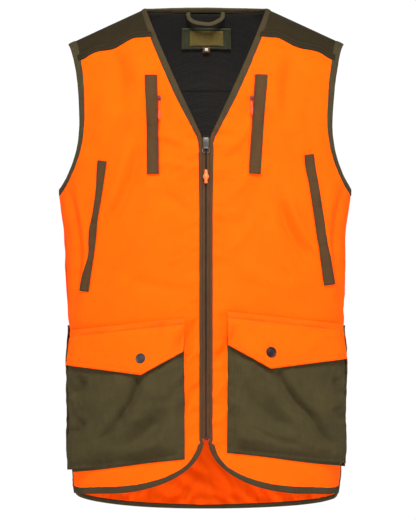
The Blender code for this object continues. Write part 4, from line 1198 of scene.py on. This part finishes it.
def flap_lift(side):
    """The height of a flap's face over the form, with a stitched ridge along its top."""

    def lift(p, edge, place):
        q = unhung(p)
        x, z = seen(q)
        below = across_line(FLAP_TOP, x) - z
        clear = FLAP_CLEAR * smooth((below - 1) / 16) * (1 - 0.45 * smooth((x - 180) / 20))
        seated = shell_relief(p) + pocket_lift(p) + clear + 1.2
        ridge = 3.0 * hump(below - 4.5, 2.8) - 2.0 * hump(below - 9.8, 2.0)
        ridge = ridge * (1 - 0.7 * smooth((x - 172) / 25))
        soft = 0.6 * creases(girth(q[:, 0]), q[:, 1], 0.7, 30, 130, 101 + side) * smooth(edge / 12)
        soft += sided_folds(p, FLAP_FOLDS, FLAP_FOLDS) * smooth(edge / 8)
        hem = 0.8 * hump(edge - 6.2, 1.4)
        rolled = 0.9 * (1 - smooth(edge / 2.6)) * smooth((below - 8) / 10)
        return seated + ridge + soft - hem - rolled + edge_puckers(edge, place, 8, 0.4, 9, 103 + side)

    return lift


def pocket_flap(label, side):
    lift = flap_lift(side)
    outline = hung(flap_outline(), side)[::side]
    made = sheet(f"pocket_flap_{label}", outline, 2.5, lift, ORANGE, 2.0)
    settle(made, None, flap_bend(label))
    inner, point, outer = FLAP_EDGE
    rows = []
    for gap in (3.0, 9.0):
        x = np.linspace(FLAP_TOP[0][0] + 3, FLAP_TOP[1][0] - 4, 60)
        rows.append(at_front(x, across_line(FLAP_TOP, x) - gap))
    for start, end in ((inner, point), (point, outer)):
        x = np.linspace(start[0] + (6 if start is inner else 0), end[0] - (6 if end is outer else 0), 40)
        rows.append(at_front(x, across_line((start, end), x) + 6.6))
    rows.append(at_front(inner[0] + 5.5, np.linspace(FLAP_TOP[0][1] - 12, inner[1] + 6, 20)))
    flat = resampled(outline, 2.5)
    thread = (f"stitching_orange_flap_{label}", f"flap_{label}")
    for row in rows:
        stitch_sheet(thread, hung(row, side), flat, lift, 1.1)


# ---------------------------------------------------------------- turned and small hard pieces


def turned(name, profile, frame_matrix, finish, steps=48):
    """A turned piece from (radius, height) points, on a frame whose z axis is the turning axis."""
    radius, height = np.array(profile, float).T[..., None]
    angle = np.linspace(0, 2 * math.pi, steps, endpoint=False)
    rings = np.broadcast_arrays(radius * np.cos(angle), radius * np.sin(angle), height)
    verts = np.stack(rings, -1).reshape(-1, 3)
    matrix = np.array(frame_matrix)
    verts = verts @ matrix[:3, :3].T + matrix[:3, 3]
    return turn_faces_out(add_mesh(name, verts, skin(len(profile), steps), finish))


def snap(label, side):
    """The press stud's cap, seated on the flap, with a raised rim and a shallow struck face."""
    low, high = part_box(f"snap_cap_{label}")
    ((theta, drop),) = hung(at_front(*SNAP)[None], side)
    spots = (theta, drop) + np.array(((0.03, 0), (-0.03, 0), (0, -5), (0, 5)))
    places = on_form(spots) + outward(spots) * (pocket_lift(spots))[:, None]
    up = Vector(places[2] - places[3]).normalized()
    normal = Vector(places[0] - places[1]).cross(up).normalized()
    seat = Matrix((up.cross(normal), up, normal)).transposed().to_4x4()
    seat.translation = (low + high) / 2 * 1000
    lift_up = 1.6
    profile = (
        (7.9, -2.6), (8.0, -0.9), (7.7, 0.0), (7.0, 0.55), (6.3, 0.5),
        (5.9, 0.1), (5.4, -0.05), (4.4, 0.25), (2.6, 0.55), (0.4, 0.62),
    )
    profile = [(radius, height + lift_up) for radius, height in profile]
    made = turned(f"snap_cap_{label}", profile, seat, GUNMETAL if side < 0 else DARK_METAL)
    settle(made, f"flap_{label}")


def tube(name, line, radii, finish, sides=14):
    """A round cord along points, with closed ends."""
    line = np.asarray(line, float)
    radii = np.broadcast_to(radii, (len(line),))
    tangent = unit(np.gradient(line, axis=0))
    guide = np.tile((0.0, 1.0, 0.15), (len(line), 1))
    first = unit(np.cross(tangent, guide))
    second = np.cross(tangent, first)
    angle = np.linspace(0, 2 * math.pi, sides, endpoint=False)
    ring = first[:, None] * np.cos(angle)[None, :, None] + second[:, None] * np.sin(angle)[None, :, None]
    verts = (line[:, None] + ring * radii[:, None, None]).reshape(-1, 3)
    n = len(line)
    uvs = np.stack((np.tile(angle, n) * 1.2, np.repeat(arc_lengths(line), sides)), -1)
    return add_mesh(name, verts, skin(n, sides), finish, uvs)


def curve_through(spots, count):
    """A smooth line through points."""
    spots = np.asarray(spots, float)
    padded = np.vstack((2 * spots[0] - spots[1], spots, 2 * spots[-1] - spots[-2]))
    made = []
    for k in range(len(spots) - 1):
        a, b, c, d = padded[k : k + 4]
        for t in np.linspace(0, 1, count, endpoint=False):
            straight = 2 * b + (c - a) * t
            bent = (2 * a - 5 * b + 4 * c - d) * t * t
            made.append(0.5 * (straight + bent + (3 * b - a - 3 * c + d) * t**3))
    return np.array(made + [spots[-1]])


def coil(name, line, normals, radius, pitch, finish):
    """A zip coil: a fine wire wound along a line."""
    run = arc_lengths(line)
    turns = run[-1] / pitch
    t = np.linspace(0, 1, int(turns * 7))
    centre = read_along(line, run, t * run[-1])
    normal = read_along(normals, run, t * run[-1])
    along = unit(np.gradient(centre, axis=0))
    across = np.cross(along, normal)
    phase = (t * turns * 2 * math.pi)[:, None]
    wound = centre + across * np.cos(phase) * radius * 1.15 + normal * np.sin(phase) * radius * 0.75
    return tube(name, wound, 0.33, finish, 5)


def slab(bm, outline, low_y, high_y, bevel=0.35):
    """An extruded outline of (x, z) points between two depths, added to a bmesh with softened edges."""
    front = [bm.verts.new((x, low_y, z)) for x, z in outline]
    back = [bm.verts.new((x, high_y, z)) for x, z in outline]
    faces = [bm.faces.new(front), bm.faces.new(back[::-1])]
    count = len(outline)
    for i in range(count):
        faces.append(bm.faces.new((front[i], back[i], back[(i + 1) % count], front[(i + 1) % count])))
    bmesh.ops.recalc_face_normals(bm, faces=faces)
    edges = list({edge for face in faces for edge in face.edges})
    bmesh.ops.bevel(bm, geom=edges, offset=bevel, segments=2, profile=0.6, affect="EDGES")


def hard_piece(name, shapes, finish, matrix=Matrix.Identity(4)):
    bm = bmesh.new()
    for outline, low_y, high_y, bevel in shapes:
        slab(bm, outline, low_y, high_y, bevel)
    mesh = bpy.data.meshes.new(name)
    bm.to_mesh(mesh)
    bm.free()
    mesh.transform(Matrix.Diagonal((MM, MM, MM, 1)) @ matrix)
    mesh.materials.append(finish)
    mesh.shade_smooth()
    mesh.set_sharp_from_angle(angle=math.radians(40))
    made = bpy.data.objects.new(name, mesh)
    bpy.context.scene.collection.objects.link(made)
    return made


def ellipse(width, height, x=0.0, z=0.0, count=28, power=1.0):
    angle = np.linspace(0, 2 * math.pi, count, endpoint=False)
    c, s = np.cos(angle), np.sin(angle)
    c, s = np.sign(c) * np.abs(c) ** power, np.sign(s) * np.abs(s) ** power
    return list(zip((x + width / 2 * c).tolist(), (z + height / 2 * s).tolist()))


# ---------------------------------------------------------------- main zip

FRONT_Y = FORM_Y - FRONT_DEPTH
FORWARD = (0.0, -1.0, 0.0)


def zip_halves():
    """The tapes that meet at the centre, and the coils behind their edges with their cores."""
    for label, side in SIDES:
        z = np.linspace(ZIP_BOTTOM_Z + 0.8, ZIP_TOP_Z + 1, 220)
        wave = 0.12 * noise(z / 9, 0, 120 + side)
        start = np.stack((side * np.full(len(z), 1.1), FRONT_Y + 0.3 + wave, z), -1)
        end = np.stack((side * np.full(len(z), 7.4), np.full(len(z), FRONT_Y + 0.3), z), -1)
        normals = np.tile(FORWARD, (len(z), 1))
        across = np.array((0, 0.04, 0.12, 0.2, 0.28, 0.5, 1.0))
        rise = np.array((0.0, 0.5, 0.62, 0.4, 0.5, 0.5, 0.3))
        profile = closed_profile(across, rise, -rise)
        made = sweep(f"zip_tape_{label}", start, end, normals, profile, TAPE, None, z)
        settle(made, f"front_{label}")
        z = np.linspace(108, 553, 400) + side * 0.36
        line = np.stack((np.full(400, side * 1.3), np.full(400, FRONT_Y + 2.0), z), -1)
        made = coil(f"zip_coil_{label}", line, np.tile(FORWARD, (400, 1)), 1.0, 1.45, COIL)
        settle(made, f"front_{label}")
        core = tube(f"zip_coil_core_{label}", line[::8] + (0, 0.3, 0), 1.24, COIL, 8)
        settle(core, f"front_{label}")


def main_slider():
    """The slider with its bridge, the pull tab, and the cord and toggle that hang from it."""
    low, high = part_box("zip_slider")
    z0, z1 = low.z * 1000, high.z * 1000
    y0 = FRONT_Y
    shield = [(-4.3, z1 - 1.5), (-3.0, z1), (-1.0, z1 + 0.2), (1.0, z1 + 0.2), (3.0, z1), (4.3, z1 - 1.5)]
    shield += [(4.5, z1 - 4), (3.6, z0 + 5), (3.4, z0), (-3.4, z0), (-3.6, z0 + 5), (-4.5, z1 - 4)]
    rail = [(4.6, z1 - 4), (3.7, z0 + 5), (3.5, z0 + 0.3), (2.9, z0 + 0.3), (3.1, z0 + 5), (4.0, z1 - 4)]
    rails = [[(side * x, z) for x, z in rail] for side in (1, -1)]
    bridge = [(-1.2, z1 - 2.2), (1.2, z1 - 2.2), (1.35, z0 + 4.2), (-1.35, z0 + 4.2)]
    posts = [[(-1.2, z), (1.2, z), (1.2, z + 2.0), (-1.2, z + 2.0)] for z in (z0 + 4.2, z1 - 4.2)]
    shapes = [(shield, y0 - 1.4, y0 - 0.2, 0.4), (shield, y0 + 4.2, y0 + 5.2, 0.3)]
    shapes += [(rail, y0 - 1.9, y0 - 1.0, 0.25) for rail in rails]
    shapes += [(bridge, y0 - 4.5, y0 - 3.5, 0.4)] + [(post, y0 - 4.2, y0 - 1.0, 0.25) for post in posts]
    made = hard_piece("zip_slider", shapes, SILVER)
    settle(made, "main_slider")
    pivot = next(j for j in frame["joints"] if j["name"] == "pull_tab_swing")["pos_m"]
    y, top = pivot[1] * 1000, pivot[2] * 1000 + 0.7
    bottom = next(j for j in frame["joints"] if j["name"] == "pull_cord_swing")["pos_m"][2] * 1000
    neck = [(-2.3, top), (2.3, top), (2.9, top - 2), (2.9, top - 8)]
    neck += [(5.0, bottom + 5.0), (5.1, bottom + 2.4)]
    foot = [(3.6, bottom + 0.5), (0, bottom), (-3.6, bottom + 0.5)]
    frame_line = neck + foot + [(-x, z) for x, z in neck[:1:-1]]
    ring = curve_through([(x, y, z) for x, z in frame_line + frame_line[:1]], 6)
    made = tube("zip_pull_tab", ring, 0.62, SILVER, 10)
    bar_line = [(-3.2, bottom + 6.4), (3.2, bottom + 6.4), (2.7, bottom + 8.6), (-2.7, bottom + 8.6)]
    bar = hard_piece("zip_pull_bar", [(bar_line, y - 0.6, y + 0.6, 0.3)], SILVER)
    settle(made, "pull_tab")
    settle(bar, "pull_tab")
    toggle_low, toggle_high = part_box("zip_pull_toggle")
    tail_y = (toggle_low.y + toggle_high.y) * 500
    toggle_top = toggle_high.z * 1000
    for number, x in enumerate((-0.32, 0.32)):
        line = [(x, y - 1.0, bottom + 0.9), (x, y - 1.3, bottom - 0.6), (x, y - 1.7, bottom - 8)]
        line += [(x, tail_y, toggle_top + 4), (x * 0.5, tail_y, toggle_top - 2)]
        strand = tube(f"zip_pull_cord_strand_{number + 1}", curve_through(line, 10), 0.58, CORD)
        settle(strand, "pull_cord", stands_for="zip_pull_cord" if x < 0 else None)
        angle = np.linspace(0, 2 * math.pi, 25)
        turn_y, turn_z = y + 0.86 * np.cos(angle), bottom + 0.86 * np.sin(angle)
        wrap = np.stack((np.full(25, 4.4 * x), turn_y, turn_z), -1)
        settle(tube(f"zip_pull_cord_wrap_{number + 1}", wrap, 0.4, CORD, 8), "pull_tab")
    length = (toggle_high.z - toggle_low.z) * 1000
    shape = (
        (1.5, 0.3), (1.9, 0), (2.2, -0.10), (2.1, -0.2), (2.5, -0.27), (4.1, -0.42), (4.6, -0.5),
        (4.1, -0.58), (2.4, -0.72), (2.0, -0.78), (2.3, -0.86), (2.3, -0.95), (1.6, -1.0), (0.3, -1.01),
    )
    profile = [(r, h * length if h <= 0 else h) for r, h in shape]
    made = turned("zip_pull_toggle", profile, Matrix.Translation((0, tail_y, toggle_top)), TOGGLE, 32)
    settle(made, "pull_cord")


def chest_slider(label, side):
    """A chest zip's slider and its corded puller."""
    low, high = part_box(f"chest_slider_{label}")
    middle = (low + high) / 2 * 1000
    outline = ellipse(5.0, 8.6, 0, 0, 20, 0.7)
    shapes = [(outline, -1.0, 0.9, 0.35), (ellipse(2.0, 5.0, 0, 0.4, 12, 0.7), -2.3, -0.8, 0.3)]
    made = hard_piece(f"chest_slider_{label}", shapes, CHEST_COIL_AND_SHADE, Matrix.Translation(middle))
    settle(made, f"chest_slider_{label}")
    low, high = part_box(f"chest_puller_{label}")
    x, y = (low.x + high.x) * 500, (low.y + high.y) * 500
    top = high.z * 1000 - 1.0
    grip_top, grip = (597.0, 14.0) if side < 0 else (609.0, 19.0)
    line = [(x, y + 0.4, top), (x, y, (top + grip_top) / 2), (x, y + 0.3, grip_top - 3)]
    made = tube(f"chest_puller_{label}", curve_through(line, 8), 0.85, PULLER, 10)
    settle(made, f"chest_puller_{label}")
    shape = (
        (0.6, 0), (1.5, -0.06), (1.6, -0.25), (2.3, -0.5),
        (2.4, -0.65), (1.7, -0.85), (1.0, -0.98), (0.2, -1.0),
    )
    profile = [(radius, height * grip) for radius, height in shape]
    seat = Matrix.Translation((x, y + 0.3, grip_top))
    made = turned(f"chest_puller_end_{label}", profile, seat, PULLER, 24)
    settle(made, f"chest_puller_{label}")


# ---------------------------------------------------------------- back and neck


def back_armhole(extra, seam_z, above):
    arm = inset(to_back(armhole()), -(ARM_TAPE + extra))
    return cut_at(arm, lambda x: seam_z + 0 * x, above)


def upper_back(extra, seam_z, neck_extra, top=0.0):
    arm = back_armhole(extra, seam_z, True)
    neck = inset(back_neck(), -(HEM_TAPE + neck_extra))
    ridge = points(np.linspace(arm[-1, 0], neck[0, 0], 40)[1:-1], top)
    left = np.concatenate((arm, ridge))
    right = other_side(left)[::-1]
    x = np.linspace(seen(right[-1])[0], seen(arm[0])[0], 60)[1:-1]
    return np.concatenate((left, neck, right, at_back(x, seam_z)))


def lower_back(extra, seam_z, hem, side_z):
    arm = back_armhole(extra, seam_z, False)
    side = at_angle(QUARTER, np.linspace(side_z, ARMPIT_Z - 3, 30))
    left = np.concatenate((side, arm[1:]))
    right = other_side(left)
    x = np.linspace(seen(left[-1])[0], seen(right[-1])[0], 60)[1:-1]
    return np.concatenate((left, at_back(x, seam_z), right[::-1], hem[::-1]))


def back_pieces():
    hem = inset(back_hem(), BACK_HEM_TAPE - 4.0)

    def panel_lift(p, edge, place):
        _, z = seen(p)
        low = smooth((150 - z) / 90)
        gathers = edge_puckers(edge, place, 34, 9.0, 14, 111) * low * smooth((edge - 4) / 9)
        slack = creases(girth(p[:, 0]), p[:, 1], 0.9, 24, 80, 113) * low * smooth((edge - 4) / 16)
        return shell_relief(p) + gathers + 4.4 * slack + edge_puckers(edge, place, 11, 0.4, 10, 112)

    def yoke_lift(p, edge, place):
        lap = 1.2 * smooth((BACK_SEAM_Z + 14 - seen(p)[1]) / 8)
        return shell_relief(p) + lap + edge_puckers(edge, place, 8, 0.3, 12, 114)

    outline = lower_back(-4.0, BACK_SEAM_Z + 2.5, hem, SIDE_HEM_Z + 3)
    panel = sheet("back_panel", outline, 3.8, panel_lift, ORANGE)
    settle(panel, "torso")
    upper = sheet("back_yoke", upper_back(-4.0, BACK_SEAM_Z, -4.0), 3.8, yoke_lift, YOKE)
    settle(upper, "torso")
    for gap in (2.2, 7.5):
        x = np.linspace(150, -150, 120)
        stitch_path(BACK_THREAD, at_back(x, BACK_SEAM_Z + gap + 0 * x), 2.0)
    margin = 5.0 / FRONT_DEPTH
    theta = np.linspace(QUARTER + margin, 3 * QUARTER - margin, 60)
    lining_hem = at_angle(theta, BACK_LINING_HEM_Z)
    lower = lower_back(3.0, LINING_SEAM_Z, lining_hem, BACK_LINING_HEM_Z)
    inner = sheet("back_lining", lower, 5.0, LINING_LIFT, LINING, 0.8)
    settle(inner, "torso")

    def facing_lift(p, edge, place):
        lap = -0.9 * smooth((LINING_SEAM_Z + 10 - seen(p)[1]) / 6)
        near_top = smooth((p[:, 1] - 60) / 60)
        return LINING_LIFT * (0.35 + 0.65 * near_top) + drape(p) + lap

    outline = upper_back(1.0, LINING_SEAM_Z - 4, -3.0, 3.0)
    facing = sheet("neck_facing", outline, 4.0, facing_lift, LINING, 0.8)
    settle(facing, "torso")
    tapes = [
        ("neck_binding", back_neck(), -HEM_TAPE, EDGE_TAPE),
        ("hem_binding_back", back_hem(), BACK_HEM_TAPE, EDGE_TAPE),
    ]
    for label, side in SIDES:
        arm = mirrored(to_back(armhole()), side)
        tapes.append((f"armhole_binding_back_{label}", arm, -side * ARM_TAPE, ARM_CLOTH))
    for number, (name, path, width, finish) in enumerate(tapes):
        made, line, normals = tape(name, path, width, finish, seed=131 + number)
        settle(made, "torso")
        stitch(BACK_THREAD, line, normals)


def game_pocket():
    low, high = GAME_POCKET_Z
    theta = np.linspace(GAME_POCKET_SIDE, 2 * math.pi - GAME_POCKET_SIDE, 120)
    outline = np.concatenate((at_angle(theta, low), at_angle(theta, high)[::-1]))

    def lift(p, edge, place):
        _, z = seen(p)
        away = (QUARTER - np.abs(np.abs(p[:, 0]) - math.pi)) * SIDE_ARC
        ramps = smooth(away / POCKET_RAMP) * smooth((z - low) / POCKET_RAMP) * smooth((high - z) / 60)
        slack = creases(girth(p[:, 0]), p[:, 1], 1.1, 40, 150, 141) * smooth(edge / 20)
        bellows = 4.5 * smooth(away / 5) * smooth((high + 2 - z) / 26) + (GAME_BULGE - 4.5) * ramps
        return shell_relief(p) + 3.0 + bellows + 1.6 * slack + edge_puckers(edge, place, 11, 0.7, 10, 142)

    made = sheet("game_pocket", outline, 4.0, lift, OLIVE)
    settle(made, "torso")
    flat = resampled(outline, 4.0)
    for gap in (3.0, 9.0):
        for z in (low + gap, high - gap):
            stitch_sheet(BACK_THREAD, at_angle(theta[3:-3], z), flat, lift, 0.8)


def back_patch(name, x_ends, z_ends, lift, finish, thick, body="neck_tag", crown=0.0):
    """A small cloth rectangle on the inside of the back."""
    x, z = np.linspace(*x_ends, 14), np.linspace(*z_ends, 8)
    outline = np.concatenate((
        at_back(x[::-1], z[0] + 0 * x), at_back(x[0] + 0 * z, z),
        at_back(x, z[-1] + 0 * x), at_back(x[-1] + 0 * z, z[::-1]),
    ))

    def height(p, edge, place):
        frayed = 0.25 * noise(girth(p[:, 0]) / 9, p[:, 1] / 7, 151)
        return lift + drape(p) - crown * smooth(edge / 3) + frayed

    made = sheet(name, outline[::-1], 1.6, height, finish, thick)
    settle(made, body)


def neck_fittings():
    """The label patch with its plain insert, the size tag, and the hanger loop."""
    (x0, x1), (z0, z1) = patch_x, patch_z = (-39.5, 40.5), (695.5, 729.5)
    back_patch("label_patch", patch_x, patch_z, -12.6, PATCH, 1.2, "torso", 0.3)
    back_patch("label_insert", (-27.0, 28.5), (701.5, 725.5), -13.9, KHAKI, 0.9, "torso", crown=0.3)
    back_patch("size_tag", (-5.5, 6.5), (691.0, 700.5), -15.4, TAG, 0.8)
    back_patch("size_tag_square", (-2.0, 3.4), (694.0, 698.5), -16.1, WHITE, 0.5)
    for gap in (2.0, 5.0):
        x = np.linspace(x0 + gap, x1 - gap, 40)
        z = np.linspace(z0 + gap, z1 - gap, 20)
        rows = [at_back(x, z[0] + 0 * x), at_back(x, z[-1] + 0 * x)]
        rows += [at_back(edge + 0 * z, z) for edge in (x[0], x[-1])]
        for row in rows:
            fine, _ = even(row, 2.0)
            normals = -outward(fine)
            stitch(BACK_THREAD, surface(fine, -13.6, drape), normals, 2.6)
    low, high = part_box("hanger_loop")
    y = (low.y + high.y) * 500
    top, bottom = high.z * 1000, low.z * 1000
    droop = top - bottom
    arch = ((-25.5, 0.2), (-19, 0.62), (-8, 0.82), (6, 0.9), (17, 0.6), (24, 0.2))
    arch = [(-27, top + 6)] + [(x, top - sag * droop) for x, sag in arch] + [(26, top + 6)]
    line = curve_through([(x, y - 0.6, z) for x, z in arch], 10)
    tangent = unit(np.gradient(line, axis=0))
    side = np.cross(tangent, np.tile(FORWARD, (len(line), 1)))
    twist = 0.45 * np.sin(np.linspace(0, math.pi, len(line)))[:, None]
    flat = unit(side * np.cos(twist) + np.array(FORWARD) * np.sin(twist))
    normals = np.cross(flat, tangent)
    across = np.array((0, 0.05, 0.2, 0.5, 0.8, 0.95, 1.0))
    rise = 0.9 * (1 - np.abs(2 * across - 1) ** 5) ** 0.5
    profile = closed_profile(across, rise, -rise)
    made = sweep("hanger_loop", line - flat * 3.2, line + flat * 3.2, normals, profile, EDGE_TAPE)
    settle(made, "hanger")


# ---------------------------------------------------------------- assembly


def side_slits():
    """The short bound slit at the foot of each side seam."""
    for label, side in SIDES:
        path = at_angle(side * (QUARTER - 0.012), np.linspace(SIDE_HEM_Z - 2, SIDE_HEM_Z + 42, 30))
        name = f"side_slit_binding_{label}"
        made, *_ = tape(name, path, side * 5.5, EDGE_TAPE, thick=3.0, lift=0.6, seed=161 + side)
        settle(made, f"front_{label}")


def finish_hard_nodes():
    """CAD pieces whose own shape is shown get a finished material."""
    finishes = {"snap_socket": GUNMETAL, "snap_stud": GUNMETAL, "zip_top_stop": DARK_METAL}
    for name, obj in frame["nodes"].items():
        finish = next((f for start, f in finishes.items() if name.startswith(start)), None)
        if name in ("zip_retainer_box", "zip_insertion_pin"):
            finish = GUNMETAL
        if finish:
            obj.data.materials.clear()
            obj.data.materials.append(finish)


def build():
    for label, side in SIDES:
        front_panel(label, side)
        front_lining(label, side)
        front_tapes(label, side)
        yoke(label, side)
        chest_pocket(label, side)
        hand_pocket(label, side)
        cargo_pocket(label, side)
        pocket_flap(label, side)
        snap(label, side)
        chest_slider(label, side)
    zip_halves()
    main_slider()
    back_pieces()
    game_pocket()
    neck_fittings()
    side_slits()
    make_stitching()
    finish_hard_nodes()


# ---------------------------------------------------------------- stage


def area_light(name, place, target, size, power):
    data = bpy.data.lights.new(name, "AREA")
    data.shape = "RECTANGLE"
    data.size, data.size_y = size
    data.energy = power
    made = bpy.data.objects.new(name, data)
    made.location = place
    made.rotation_euler = (Vector(target) - Vector(place)).to_track_quat("-Z", "Y").to_euler()
    bpy.context.scene.collection.objects.link(made)


def stage_and_camera():
    scene = bpy.context.scene
    scene.view_settings.view_transform = "Standard"
    world = bpy.data.worlds.new("studio")
    world.use_nodes = True
    tree = world.node_tree
    background = tree.nodes["Background"]
    background.inputs["Color"].default_value = (1, 1, 1, 1)
    path = tree.nodes.new("ShaderNodeLightPath")
    strength = node(tree, "ShaderNodeMapRange", To_Min=0.23, To_Max=1.02)
    link(tree, path, "Is Camera Ray", strength, "Value")
    link(tree, strength, "Result", background, "Strength")
    scene.world = world
    floor_finish, tree, surface_node = shader("pale_floor", (0.92,) * 3, 0.9)
    surface_node.inputs["Emission Color"].default_value = (1, 1, 1, 1)
    link(tree, tree.nodes.new("ShaderNodeLightPath"), "Is Camera Ray", surface_node, "Emission Strength")
    bpy.ops.mesh.primitive_plane_add(size=24, location=(0, 0, -0.45))
    floor = bpy.context.object
    floor.name = "floor"
    floor.data.materials.append(floor_finish)
    area_light("key", (0.05, -1.9, 2.1), (0, 0, 0.35), (0.8, 0.6), 80)
    area_light("left", (-2.6, -1.2, 0.5), (0, 0, 0.35), (0.7, 1.6), 27)
    area_light("right", (2.6, -1.2, 0.5), (0, 0, 0.35), (0.7, 1.6), 30)
    area_light("low", (0.0, -2.4, -0.25), (0, 0, 0.25), (2.4, 0.6), 3)
    area_light("rear", (0.0, 2.6, 1.6), (0, 0, 0.4), (2.6, 1.6), 14)
    camera = bpy.data.objects.new("camera", bpy.data.cameras.new("camera"))
    distance, picture_height, sensor = 20.0, 0.780, 36
    camera.data.sensor_width = sensor
    camera.data.lens = sensor * distance / picture_height
    camera.data.clip_end = 60
    camera.location = (0.0030, -distance, 0.3735)
    camera.rotation_euler = (QUARTER, 0, 0)
    scene.collection.objects.link(camera)
    scene.camera = camera


build()
stage_and_camera()
